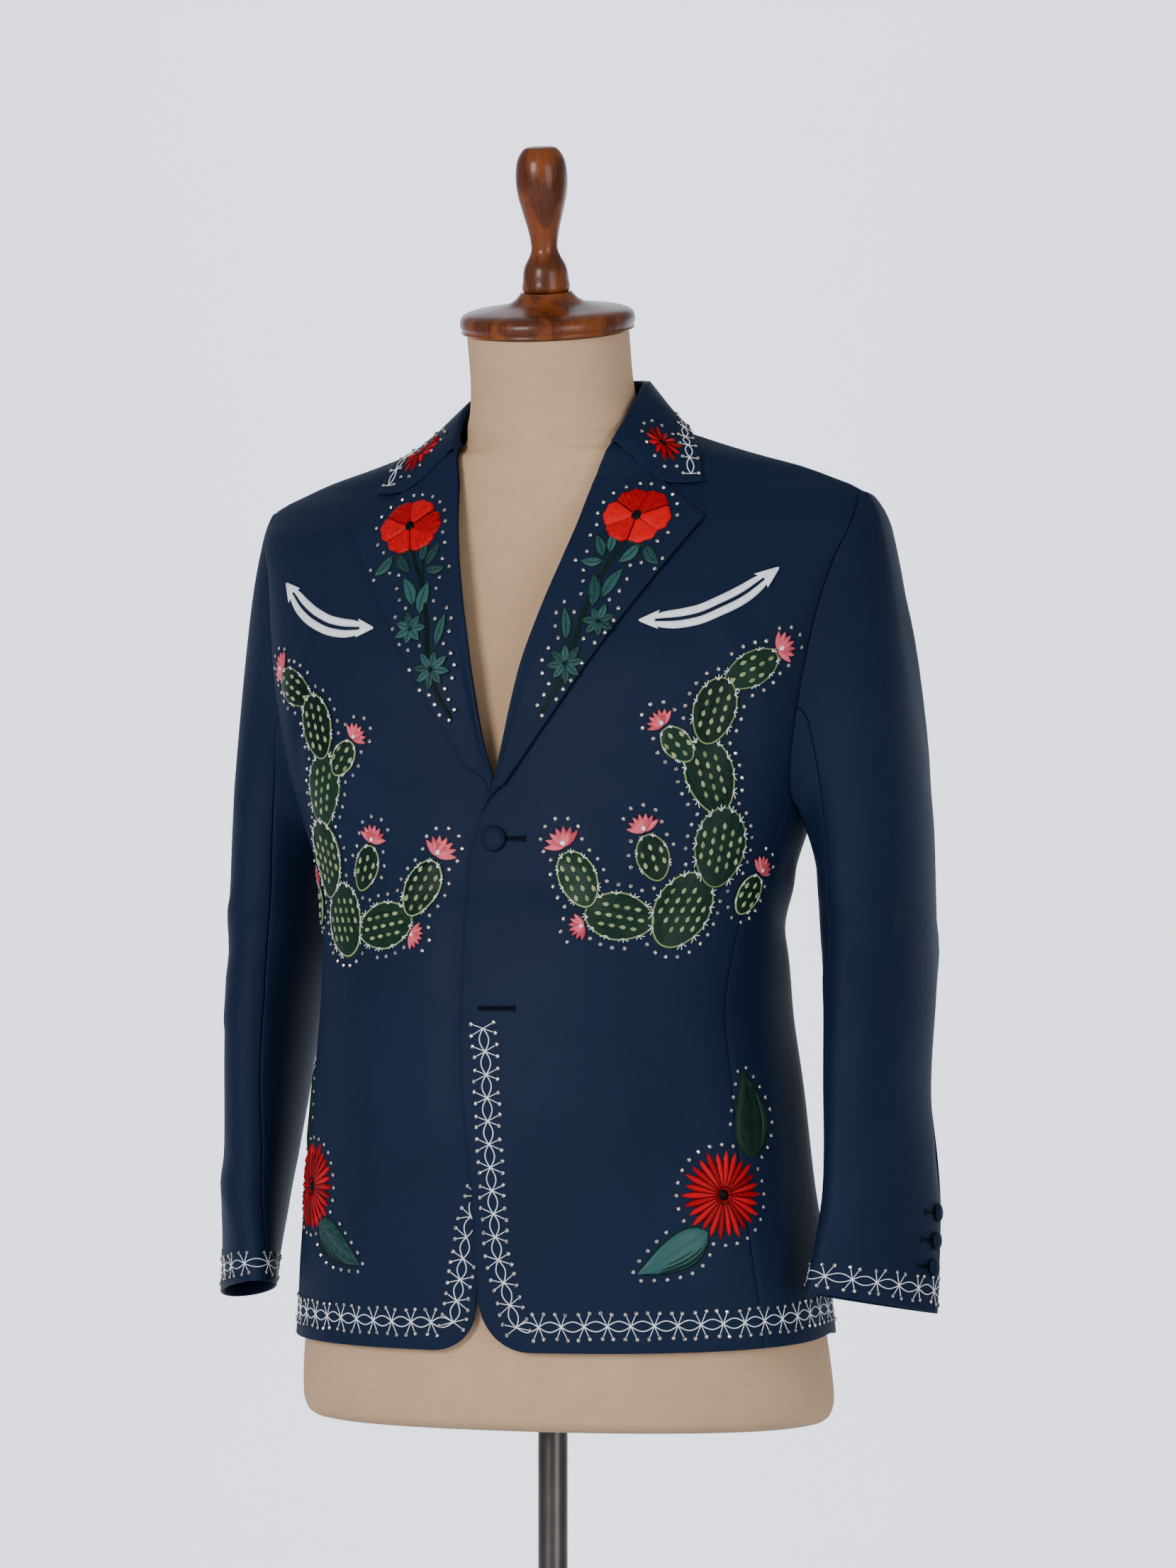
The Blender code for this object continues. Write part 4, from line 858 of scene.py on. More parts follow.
def fine_heights():
    """The panels' own levels, divided, from the first one over the round of the hem."""
    levels = [h for h in BODY_HEIGHTS if h > FINE_FROM]
    steps = []
    for low, high in zip(levels, levels[1:]):
        parts = max(2, round((high - low) / FINE_STEP))
        steps += list(np.linspace(low, high, parts, endpoint=False))
    return np.array(steps + [levels[-1]])


def hem_curve(side, turn):
    """The front's hem, with the round corner at its front edge."""
    radius = CORNER_RADIUS[side]
    across = body(turn, HEM_FRONT)[:, 0] - edge_x(side, HEM_FRONT)
    inside = np.clip(radius - across, 0, radius)
    return hem_height(turn) + radius - np.sqrt(radius**2 - inside**2)


def panel_face(turn, height, foot, hem, creases):
    """A panel's outer face from its turns and heights, and from its foot's along the hem."""
    share = np.linspace(0, 1, HEM_ROWS, endpoint=False)[:, None]
    turn = np.concatenate([foot * (1 - share) + turn[0] * share, turn])
    height = np.concatenate([hem * (1 - share) + height[0] * share, height])
    normals = surface_normal(body, turn, height)
    lift = crease(creases, round_from_front(np.abs(turn), height), height)
    return body(turn, height) + normals * lift[..., None], normals


def tucked(side, points, normals, where=1):
    """The points of the wearer's right front sink where they go under the left one."""
    if side == "left":
        return points
    under = np.clip((UNDERLAP_ENDS - points[..., 0]) / (UNDERLAP_ENDS - UNDERLAP_FLAT), 0, 1)
    depth = UNDERLAP_DEPTH * under**2 * (3 - 2 * under) * where
    return points - normals * depth[..., None]


def fine_front(side):
    heights, low = fine_heights(), np.array([HEM_FRONT])
    shares = FINE_SHARES["front"]
    first = turn_at_x(edge_x(side, heights), heights)
    turn = spread_turns(first, front_seam(heights), heights, shares)
    foot = spread_turns(turn_at_x(edge_x(side, low), low), front_seam(low), low, shares)[0]
    height = np.repeat(heights[:, None], len(shares), axis=1)
    points, normals = panel_face(turn, height, foot, hem_curve(side, foot), FRONT_CREASES[side])
    return draw_in(tucked(side, points, normals), "last_column"), normals


def fine_side(side):
    heights, low = fine_heights(), np.array([HEM_SIDE])
    heights = np.append(heights[heights < SEAM_MEETS_ARMHOLE - 1e-6], SEAM_MEETS_ARMHOLE)
    shares = FINE_SHARES["side"]
    first, last = front_seam(heights - 1e-9), back_seam(heights - 1e-9)
    turn = first[:, None] + (last - first)[:, None] * shares
    foot = front_seam(low) + (back_seam(low) - front_seam(low)) * shares
    height = np.repeat(heights[:, None], len(shares), axis=1)
    top = ARMHOLE_MIDDLE_Z - ARMHOLE_HALF * np.sqrt(1 - side_top_sine(turn[-1]) ** 2)
    # The topmost rows draw together under the foot of the armhole.
    above = np.clip((height - SIDE_EVEN_BELOW) / (SEAM_MEETS_ARMHOLE - SIDE_EVEN_BELOW), 0, 1)
    height = height + above * (top - SEAM_MEETS_ARMHOLE)
    points, normals = panel_face(turn, height, foot, hem_height(foot), SIDE_CREASES[side])
    return draw_in(points, "first_column", "last_column", "last_row"), normals


def fine_back(side):
    heights, low = fine_heights(), np.array([HEM_BACK])
    shares = FINE_SHARES["back"]
    turn = spread_turns(back_seam(heights), np.full(len(heights), math.pi), heights, shares)
    foot = spread_turns(back_seam(low), np.full(1, math.pi), low, shares)[0]
    height = np.repeat(heights[:, None], len(shares), axis=1)
    points, normals = panel_face(turn, height, foot, hem_height(foot), BACK_CREASES[side])
    return draw_in(points, "first_column", "last_column"), normals


# The right lapel's foot goes on under the left front.
LAPEL_RUNS_FROM = {"left": 0.02, "right": -0.05}
LAPEL_TAPERS_TO = 0.13


def fine_lapel(side):
    """The lapel's outer face, drawn to a point at its foot."""
    first = LAPEL_RUNS_FROM[side]
    share = np.concatenate([np.linspace(first, 0.9, 64), np.linspace(0.9, 1, 12)[1:]])
    line = np.array(lapel_line(side, np.maximum(share, 0.02)))
    low = np.array(lapel_line(side, np.array([0.02, 0.06])))
    line += (low[:, 1:] - low[:, :1]) / 0.04 * np.minimum(share - 0.02, 0)
    roll_x, roll_z, out_x, out_z = line
    taper = np.clip((share - first) / (LAPEL_TAPERS_TO - first), 0.06, 1)
    out_x, out_z = roll_x + (out_x - roll_x) * taper, roll_z + (out_z - roll_z) * taper
    across = np.concatenate([[0, 0.03, 0.06, 0.10, 0.15], np.linspace(0.2, 1, 21)])[None, :]
    x = roll_x[:, None] + (out_x - roll_x)[:, None] * across
    z = roll_z[:, None] + (out_z - roll_z)[:, None] * across
    x[:, 0] -= LAPEL_OVERHANG * taper
    turn = turn_at_x(x, z)
    normals = surface_normal(body, turn, z)
    lift = lapel_lift(across, share[:, None], np.hypot(out_x - roll_x, out_z - roll_z)[:, None])
    points = body(turn, z) + normals * lift[..., None]
    return tucked(side, points, normals), normals


LAPEL_EDGE_RISE = 0.0009
LAPEL_FOOT_FADE = 0.09


def lapel_lift(across, share, width):
    """How far the lapel's outer face stands off the front: it runs into the front at its foot."""
    high = LAPEL_ROLL_LIFT * np.clip(width / 0.03, 0, 1) * (1 - 0.7 * share**4)
    fade = np.clip((share - 0.02) / LAPEL_FOOT_FADE, 0, 1)
    fade = 0.06 + 0.94 * fade**2 * (3 - 2 * fade)
    edge = LAPEL_EDGE_RISE * np.clip(across, 0, 1) ** 5
    return (LAPEL_CLEAR + CLOTH + edge + high * np.exp(-((across / LAPEL_ROLL_SHARE) ** 2))) * fade


COLLAR_FINE = (61, 46)  # points along a half of the collar, and down it
COLLAR_CORNER_FORWARD = 0.0065
COLLAR_CORNER_REACH = 0.22
COLLAR_CORNER_FROM = 0.55  # where the corner's change starts, on the way from seam to edge
COLLAR_CORNER_SPAN = 0.45
COLLAR_FOLD_ASIDE = 0.0015
COLLAR_FOLD_BACK = -0.0012
COLLAR_FOLD_SINKS = 0.75


def fine_collar():
    """The collar's outer face: columns from the wearer's right to the left, rows seam to edge."""
    along, down = COLLAR_FINE
    left = spline(spline(collar_half(), along), down, axis=1)
    # The front corner lies a little further forward and down on the chest than the solid's.
    near = np.clip(1 - np.linspace(0, 1, along) / COLLAR_CORNER_REACH, 0, 1)[:, None] ** 1.5
    row = np.arange(down)
    outward = np.clip((row / (down - 1) - COLLAR_CORNER_FROM) / COLLAR_CORNER_SPAN, 0, 1)
    inward = near * (1 - outward)
    left[..., 0] += COLLAR_FOLD_ASIDE * inward
    left[..., 1] += COLLAR_FOLD_BACK * inward - COLLAR_CORNER_FORWARD * near * outward
    rest = body_height(left[..., 0], left[..., 1]) + COLLAR_CLEAR + CLOTH / 2
    left[..., 2] += (rest - left[..., 2]) * np.minimum(1, 1.6 * near * outward)
    # The fold sinks to the lapel's roll where the two meet.
    over = (CLOTH + COLLAR_CLEAR) * np.clip((row - 8) / 8, 0, 1)
    left[..., 2] += (rest + over - left[..., 2]) * COLLAR_FOLD_SINKS * inward
    grid = np.concatenate([left * (-1, 1, 1), left[:-1][::-1]]).transpose(1, 0, 2)
    normals = unit(np.cross(np.gradient(grid, axis=1), np.gradient(grid, axis=0)))
    return grid + normals * (CLOTH / 2), normals


def sleeve_length(phi, row):
    """Distance round a sleeve's ring from its outermost line, forward positive."""
    table_phi = np.linspace(-math.pi, 2 * math.pi, 721)
    rows = np.linspace(0, SLEEVE_END, 8 * SLEEVE_END + 1)
    run = run_along(sleeve(table_phi, rows[:, None]), axis=1)
    run -= run[:, 240][:, None]  # phi is 0 there
    return look_up(run, rows, table_phi, row, phi)


def fine_sleeve(which, side):
    rows = refine(SLEEVE_GRID, 5)[::-1]
    down = armhole_phis(low_part=False)
    front_at = np.argmin(np.abs(down - math.radians(SLEEVE_FRONT_SEAM_DEG)))
    back_at = np.argmin(np.abs(down - math.radians(-SLEEVE_BACK_SEAM_TOP_DEG)))
    cuff_back = math.radians(SLEEVE_BACK_SEAM_CUFF_DEG)
    if which == "top":
        start = np.concatenate([-down[back_at:0:-1], down[: front_at + 1]])[::-1]
        ends = start[0], cuff_back
    else:
        back = 2 * math.pi - down[back_at:]
        start = np.concatenate([down[front_at:], armhole_phis(low_part=True), back[::-1]])[::-1]
        ends = cuff_back + 2 * math.pi, start[-1]
    start = refine(start, 3)
    end = np.linspace(*ends, len(start))
    even = np.clip(rows / SLEEVE_EVEN_ROW, 0, 1)[:, None]
    to_cuff = np.clip(rows / SLEEVE_END, 0, 1)[:, None]
    level = np.linspace(start[0], start[-1], len(start))[None, :]
    spread = level * (1 - to_cuff) + end[None, :] * to_cuff
    phi = start[None, :] * (1 - even) + spread * even
    row = np.repeat(rows[:, None], len(start), axis=1)
    normals = sleeve_normal(phi, row)
    points = sleeve(phi, row)
    # The corner of the sleeve's head is softened.
    for step in (0.3, 0.6):
        near = (np.clip(row / step, 0, 1) * np.clip((6 - row) / 2, 0, 1))[..., None] / 4
        beside = sleeve(phi, np.maximum(row - step, 0)) + sleeve(phi, np.minimum(row + step, SLEEVE_END))
        points = points + (beside - 2 * sleeve(phi, row)) * near
    s = sleeve_length(phi, row)
    fade = np.clip(row / 2, 0, 1)
    lift = crease(SLEEVE_CREASES[side], s, points[..., 2])
    points = points + normals * (lift * fade)[..., None]
    return draw_in(points, "first_column", "last_column", by=SEAM), normals


class Look:
    """A material in the making: its shader, and what colours, roughens and bumps it."""

    def __init__(self, name, roughness, metallic=0.0, specular=0.5):
        self.material = bpy.data.materials.new(name)
        self.material.use_nodes = True
        self.tree = self.material.node_tree
        self.shader = self.tree.nodes["Principled BSDF"]
        self.set("Roughness", roughness)
        self.set("Metallic", metallic)
        self.set("Specular IOR Level", specular)

    def set(self, name, value):
        self.shader.inputs[name].default_value = value

    def node(self, kind, links=(), **values):
        """A node with its inputs set by name, and links given as (input name, output socket)."""
        made = self.tree.nodes.new(kind)
        for name, value in values.items():
            if name in made.inputs:
                made.inputs[name].default_value = value
            else:
                setattr(made, name, value)
        for name, source in links:
            self.tree.links.new(source, made.inputs[name])
        return made

    def scaled(self, output, scale):
        place = self.node("ShaderNodeTexCoord").outputs[output]
        return self.node("ShaderNodeMapping", [("Vector", place)], Scale=scale).outputs["Vector"]

    def space(self, x=1, y=1, z=1):
        """Places on the piece in metres, stretched by a scale in each direction."""
        return self.scaled("Object", (x, y, z))

    def cloth(self, x=1, y=1):
        """Places along the piece's cloth, stretched across and along."""
        return self.scaled("UV", (x, y, 1))

    def noise(self, place, detail, scale=1.0, **more):
        links = [("Vector", place)]
        made = self.node("ShaderNodeTexNoise", links, Scale=scale, Detail=detail, **more)
        return made.outputs["Fac"]

    def wave(self, place, **more):
        return self.node("ShaderNodeTexWave", [("Vector", place)], **more).outputs["Fac"]

    def ramp(self, factor, *stops):
        """Colours between stops given as (place, colour)."""
        made = self.node("ShaderNodeValToRGB", [("Fac", factor)])
        band = made.color_ramp
        while len(band.elements) < len(stops):
            band.elements.new(0.5)
        for element, (place, colour) in zip(band.elements, stops):
            element.position = place
            element.color = (*colour, 1)
        return made.outputs["Color"]

    def mixed(self, share, first, second):
        """Two colours mixed, with this share of the second."""
        made = self.node("ShaderNodeMix", data_type="RGBA")
        made.inputs[0].default_value = share
        self.tree.links.new(first, made.inputs[6])
        self.tree.links.new(second, made.inputs[7])
        return made.outputs[2]

    def colour(self, source):
        self.tree.links.new(source, self.shader.inputs["Base Color"])

    def roughness(self, factor, low, high):
        sizes = {"To Min": low, "To Max": high}
        spread = self.node("ShaderNodeMapRange", [("Value", factor)], **sizes)
        self.tree.links.new(spread.outputs["Result"], self.shader.inputs["Roughness"])

    def bumps(self, *layers):
        """Bumps laid one on another: each is a height socket, a depth in metres and a strength."""
        below = []
        for height, depth, strength in layers:
            links = [("Height", height), *below]
            made = self.node("ShaderNodeBump", links, Distance=depth, Strength=strength)
            below = [("Normal", made.outputs["Normal"])]
        self.tree.links.new(made.outputs["Normal"], self.shader.inputs["Normal"])


def worsted(name, low, middle, high, sheen):
    """Fine twill worsted: woven diagonal ribs, uneven dye, a soft nap."""
    look = Look(name, 0.62, specular=0.12)
    twill = look.wave(
        look.cloth(1, 0.8), Scale=330.0, Distortion=0.6, Detail=1.0, bands_direction="DIAGONAL",
    )
    threads = look.noise(look.cloth(90, 1400), 2.0)
    wide = look.noise(look.space(), 4.0, 7.0)
    fuzz = look.noise(look.cloth(), 3.0, 900.0)
    dyed = look.ramp(wide, (0.25, low), (0.5, middle), (0.78, high))
    ribbed = look.mixed(0.16, dyed, look.ramp(twill, (0.2, low), (0.9, high)))
    look.colour(look.mixed(0.14, ribbed, look.ramp(threads, (0.35, low), (0.7, high))))
    look.set("Sheen Weight", 0.06)
    look.set("Sheen Roughness", 0.45)
    look.set("Sheen Tint", (*sheen, 1))
    look.roughness(fuzz, 0.52, 0.74)
    look.bumps((twill, 0.00010, 0.5), (threads, 0.00008, 0.4), (wide, 0.0006, 0.25))
    return look.material


def satin(name, dark, light):
    """Glossy white satin piping with tight lengthwise floats and small puckers."""
    look = Look(name, 0.34)
    floats = look.noise(look.cloth(60, 1500), 3.0)
    pucker = look.noise(look.cloth(170, 60), 2.0)
    look.colour(look.ramp(pucker, (0.2, dark), (0.75, light)))
    look.set("Sheen Weight", 0.2)
    look.roughness(floats, 0.28, 0.46)
    look.bumps((floats, 0.00012, 0.5), (pucker, 0.0010, 0.6))
    return look.material


THREAD_SHINE = 0.36
PAINTED_SHEEN_TONES = 0.5  # how far apart the painted sheen tones of petals and leaves lie


def thread(name, dark, light, specular=0.25):
    """Rayon embroidery thread: fine parallel strands along V, and each petal or leaf a random tone of
    painted sheen for the light that its stitches catch.

    A piece's UVs hold its number plus the place across it in U, and the place along it in V.
    """
    look = Look(name, THREAD_SHINE, specular=specular)
    place = look.node("ShaderNodeTexCoord").outputs["UV"]
    across = look.node("ShaderNodeSeparateXYZ", [("Vector", place)]).outputs["X"]
    number = look.node("ShaderNodeMath", [(0, across)], operation="FLOOR").outputs[0]
    # Each piece's random tone is painted sheen, standing in for the light that the direction of its
    # stitches catches.
    own = look.node("ShaderNodeTexWhiteNoise", [("W", number)], noise_dimensions="1D")
    strands = look.noise(look.cloth(13, 1.6), 3.0, Roughness=0.7)
    cross = look.noise(look.space(900, 900, 900), 2.0)
    sheen_toned = look.node("ShaderNodeMath", [(0, own.outputs["Value"])], operation="MULTIPLY")
    sheen_toned.inputs[1].default_value = PAINTED_SHEEN_TONES
    lit = look.node("ShaderNodeMath", [(0, strands), (1, sheen_toned.outputs[0])], operation="ADD")
    look.colour(look.ramp(lit.outputs[0], (0.42, dark), (0.88, light)))
    look.roughness(strands, THREAD_SHINE - 0.1, THREAD_SHINE + 0.16)
    look.bumps((strands, 0.0005, 0.7), (cross, 0.00012, 0.4))
    return look.material


def cord_thread(name, dark, light, specular=0.3):
    """Twisted thread: fine turns along the cord."""
    look = Look(name, 0.42, specular=specular)
    turns = look.noise(look.space(1600, 1600, 1600), 2.0)
    look.colour(look.ramp(turns, (0.3, dark), (0.7, light)))
    look.roughness(turns, 0.34, 0.54)
    look.bumps((turns, 0.0002, 0.6))
    return look.material


def cut_glass(name):
    """Foil-backed cut glass: its colour paints bright glints and dark reflections on the facets, and its
    polish differs a little.
    """
    look = Look(name, 0.10, metallic=0.75, specular=0.8)
    each = look.noise(look.space(760, 760, 760), 0.0)
    # Painted highlights and reflections: the colour swings between bright glints and dark facets.
    look.colour(look.ramp(
        each, (0.36, (0.20, 0.17, 0.17)), (0.48, (0.96, 0.93, 0.94)),
        (0.56, (0.42, 0.33, 0.28)), (0.66, (1.0, 0.98, 0.98)),
    ))
    look.roughness(each, 0.05, 0.18)
    return look.material


def setting_metal(name):
    """The dark claws round the stones."""
    look = Look(name, 0.28, metallic=1.0)
    each = look.noise(look.space(700, 700, 700), 1.0)
    look.colour(look.ramp(each, (0.3, (0.050, 0.042, 0.038)), (0.7, (0.24, 0.20, 0.18))))
    look.roughness(each, 0.2, 0.42)
    return look.material


def cover_cloth(name):
    """Plain-woven cotton cover of the form, evenly worn, with faint marks."""
    look = Look(name, 0.82, specular=0.25)
    weave = look.space()
    fine = look.noise(weave, 2.0, 950.0)
    slub = look.noise(look.space(40, 40, 700), 2.0)
    wide = look.noise(weave, 5.0, 6.0, Roughness=0.6)
    marks = look.noise(weave, 3.0, 38.0)
    ground = look.ramp(
        wide, (0.28, (0.500, 0.304, 0.168)), (0.55, (0.565, 0.354, 0.202)),
        (0.8, (0.610, 0.394, 0.234)),
    )
    marked = look.ramp(marks, (0.38, (0.38, 0.24, 0.15)), (0.6, (0.54, 0.36, 0.24)))
    slubbed = look.ramp(slub, (0.3, (0.40, 0.26, 0.17)), (0.7, (0.60, 0.42, 0.30)))
    look.colour(look.mixed(0.12, look.mixed(0.10, ground, marked), slubbed))
    look.roughness(wide, 0.74, 0.9)
    look.bumps((fine, 0.00012, 0.5), (slub, 0.00010, 0.4), (wide, 0.0012, 0.3))
    return look.material


def polished_wood(name):
    """Turned and varnished red-brown wood with dark streaks along the grain."""
    look = Look(name, 0.22, specular=0.25)
    grain = look.wave(
        look.space(9.0, 9.0, 1.6), Scale=3.2, Distortion=7.0, Detail=4.0, wave_type="RINGS",
        **{"Detail Scale": 1.6},
    )
    pores = look.noise(look.space(520, 520, 60), 3.0)
    patches = look.noise(look.space(), 3.0, 26.0)
    wood = look.ramp(
        grain, (0.15, (0.062, 0.0100, 0.0018)), (0.5, (0.125, 0.0230, 0.0040)),
        (0.85, (0.205, 0.0450, 0.0072)),
    )
    patched = look.ramp(patches, (0.35, (0.055, 0.012, 0.0025)), (0.7, (0.220, 0.058, 0.0115)))
    pored = look.ramp(pores, (0.35, (0.040, 0.011, 0.003)), (0.6, (0.20, 0.062, 0.015)))
    look.colour(look.mixed(0.18, look.mixed(0.2, wood, patched), pored))
    look.set("Coat Weight", 0.12)
    look.set("Coat Roughness", 0.08)
    look.roughness(patches, 0.26, 0.42)
    look.bumps((pores, 0.00008, 0.25), (patches, 0.0006, 0.15))
    return look.material


def worn_metal(name):
    """Dark burnished steel with fine scratches."""
    look = Look(name, 0.3, metallic=1.0)
    scratches = look.noise(look.space(900, 900, 14), 3.0)
    wide = look.noise(look.space(), 4.0, 14.0)
    look.colour(look.ramp(wide, (0.3, (0.060, 0.052, 0.047)), (0.7, (0.125, 0.112, 0.102))))
    look.roughness(scratches, 0.22, 0.46)
    look.bumps((scratches, 0.00006, 0.3), (wide, 0.0004, 0.15))
    return look.material


def floor_paint(name):
    """Plain pale grey-blue studio paper."""
    look = Look(name, 0.9, specular=0.1)
    fine = look.noise(look.space(), 2.0, 1.2)
    look.colour(look.ramp(fine, (0.3, (0.725, 0.765, 0.835)), (0.7, (0.735, 0.775, 0.845))))
    return look.material


MATERIALS = {
    "worsted": worsted(
        "navy_worsted_cloth", (0.0030, 0.0085, 0.0260), (0.0044, 0.0115, 0.0340),
        (0.0062, 0.0155, 0.0420), (0.05, 0.12, 0.30),
    ),
    "satin": satin("white_satin_piping", (0.78, 0.79, 0.86), (0.95, 0.95, 1.0)),
    "cover": cover_cloth("beige_form_cover"),
    "wood": polished_wood("varnished_wood"),
    "metal": worn_metal("burnished_metal"),
}
# Flat threads: name, material, dark and light colour, specular level.
for short, name, *look in (
    ("red", "red_thread", (0.24, 0.0, 0.002), (0.64, 0.0, 0.006), 0.10),
    ("deep_red", "deep_red_thread", (0.15, 0.0, 0.001), (0.56, 0.0, 0.008), 0.12),
    # The wine tone is painted shade: dark lines between the rayed flowers' petals and along the poppies'
    # overlapped petal edges.
    ("wine", "dark_red_painted_shade", (0.014, 0.0006, 0.0008), (0.060, 0.0012, 0.0016), 0.1),
    ("teal", "teal_thread", (0.003, 0.018, 0.021), (0.026, 0.092, 0.090), 0.18),
    ("dark_green", "dark_green_thread", (0.0015, 0.0070, 0.0052), (0.0085, 0.0290, 0.0170), 0.10),
    ("sage", "sage_thread", (0.11, 0.15, 0.06), (0.33, 0.40, 0.18)),
    ("pink", "pink_thread", (0.38, 0.025, 0.050), (0.80, 0.13, 0.17)),
    # The black serves as thread in the flowers' middles and as painted shade in the buttonholes' slits.
    ("black", "black_thread_and_slit_shade", (0.0010, 0.0010, 0.0012), (0.004, 0.0035, 0.004), 0.08),
):
    MATERIALS[short] = thread(name, *look)
MATERIALS.update(
    white=cord_thread("white_thread", (0.78, 0.79, 0.87), (0.96, 0.96, 1.0)),
    navy_thread=cord_thread(
        "navy_thread", (0.0010, 0.0028, 0.0090), (0.0024, 0.0062, 0.0180), specular=0.06,
    ),
    stone=cut_glass("rhinestone_glass"),
    setting=setting_metal("rhinestone_setting"),
    floor=floor_paint("studio_paper"),
)


def add_shell(part, side, points, normals, material="worsted", thickness=SHELL, slot="navy_worsted"):
    """A cloth shell on its solid's form, in place of the solid."""
    node_name = part + ("_" + side if side else "")
    points, faces, uv = rounded_shell(points, normals, thickness)
    if side == "right":
        points, faces = mirror_mesh(points, faces)
    end = "_cloth" if material == "worsted" else "_satin"
    obj = new_object(node_name + end, points, faces, MATERIALS[material], uv)
    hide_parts(node_name)


def sew_jacket():
    for side in ("left", "right"):
        add_shell("front", side, *fine_front(side))
        add_shell("side", side, *fine_side(side))
        add_shell("back", side, *fine_back(side))
        add_shell("lapel", side, *fine_lapel(side))
        add_shell("top_sleeve", side, *fine_sleeve("top", side))
        add_shell("under_sleeve", side, *fine_sleeve("under", side))
    add_shell("collar", "", *fine_collar())


def turned_mesh(name, replaced, profile, material, slot, steps, foot, up, smooth_rows=4):
    """A turned piece about an axis, with its profile rounded between the given points."""
    profile = np.asarray(profile, float)
    if smooth_rows > 1:
        profile = spline(profile, (len(profile) - 1) * smooth_rows + 1)
        profile[:, 0] = np.maximum(profile[:, 0], 0)
    up = np.asarray(up, float)
    side = unit(np.cross(up, (0.0, 1.0, 0.0)))
    ahead = np.cross(up, side)
    angle = np.linspace(0, 2 * math.pi, steps, endpoint=False)
    ring = np.cos(angle)[:, None] * side + np.sin(angle)[:, None] * ahead
    rings = foot + profile[1:-1, None, :1] * ring + profile[1:-1, None, 1:] * up
    points, faces = closed_rings(rings, [foot + profile[0, 1] * up, foot + profile[-1, 1] * up])
    obj = new_object(name, points, faces, MATERIALS[material])
    mesh_facing_out(obj)
    obj.data.set_sharp_from_angle(angle=math.radians(60))
    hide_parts(replaced)


def mesh_facing_out(obj):
    """Turns the faces over if the mesh's volume is negative."""
    mesh = obj.data
    volume = sum(
        mesh.vertices[p.vertices[0]].co.dot(
            mesh.vertices[p.vertices[k]].co.cross(mesh.vertices[p.vertices[k + 1]].co)
        )
        for p in mesh.polygons for k in range(1, len(p.vertices) - 1)
    )
    if volume < 0:
        mesh.flip_normals()


class Bundle:
    """Small meshes gathered into one object."""

    def __init__(self):
        self.points, self.faces, self.uvs, self.count = [], [], [], 0

    def add(self, points, faces, uv, mirrored=False, facing=None):
        faces = np.array(faces)
        if facing is not None:
            corner = points[faces[:, :3]]
            turned_up = np.cross(corner[:, 1] - corner[:, 0], corner[:, 2] - corner[:, 0]).sum(0)
            if turned_up @ facing < 0:
                faces = faces[:, ::-1]
        if mirrored:
            points, faces = mirror_mesh(points, faces)
        used = faces >= 0
        self.faces.append(np.where(used, faces + self.count, -1))
        self.points.append(points)
        self.uvs.append(uv)
        self.count += len(points)

    def build(self, name, material, slot, smooth_shade=True):
        obj = new_object(
            name, np.concatenate(self.points), np.concatenate(self.faces), MATERIALS[material],
            np.concatenate(self.uvs), smooth_shade,
        )
        return obj


class Work:
    """All sewn-on work of the jacket: meshes by material, stones, and how many pieces so far."""

    def __init__(self):
        self.bundles, self.stones, self.number = {}, [], 0


def turned(s, z, x, y, angle):
    """Places at x and y from (s, z), turned by an angle."""
    c, n = math.cos(angle), math.sin(angle)
    return np.stack([s + x * c - y * n, z + x * n + y * c], -1)


def heading(angle):
    return np.array((math.cos(angle), math.sin(angle)))


def circle(steps):
    """Evenly spaced points of a circle of radius 1."""
    angle = np.linspace(0, 2 * math.pi, steps, endpoint=False)
    return np.stack([np.cos(angle), np.sin(angle)], -1)


def too_near(spot, others, distance):
    return bool(others) and np.linalg.norm(np.array(others) - spot, axis=1).min() < distance


def leaf_axes(foot, tip):
    """A leaf's foot, its length, and the directions along and beside it."""
    foot, tip = np.array(foot, float), np.array(tip, float)
    length = np.linalg.norm(tip - foot)
    ahead = (tip - foot) / length
    return foot, length, ahead, np.array([-ahead[1], ahead[0]])


CORD_SIDES = np.radians((-100, -55, -18, 18, 55, 100))
LEAF_ROWS = 15
LEAF_ACROSS = np.array((-1, -0.92, -0.72, -0.42, -0.14, 0, 0.14, 0.42, 0.72, 0.92, 1))
SPOT_RINGS = np.array((0.02, 0.35, 0.65, 0.88, 1.0))
SPOT_STEPS = 20
EDGE_SINKS = -0.0002  # the rim of domed work dips into the cloth


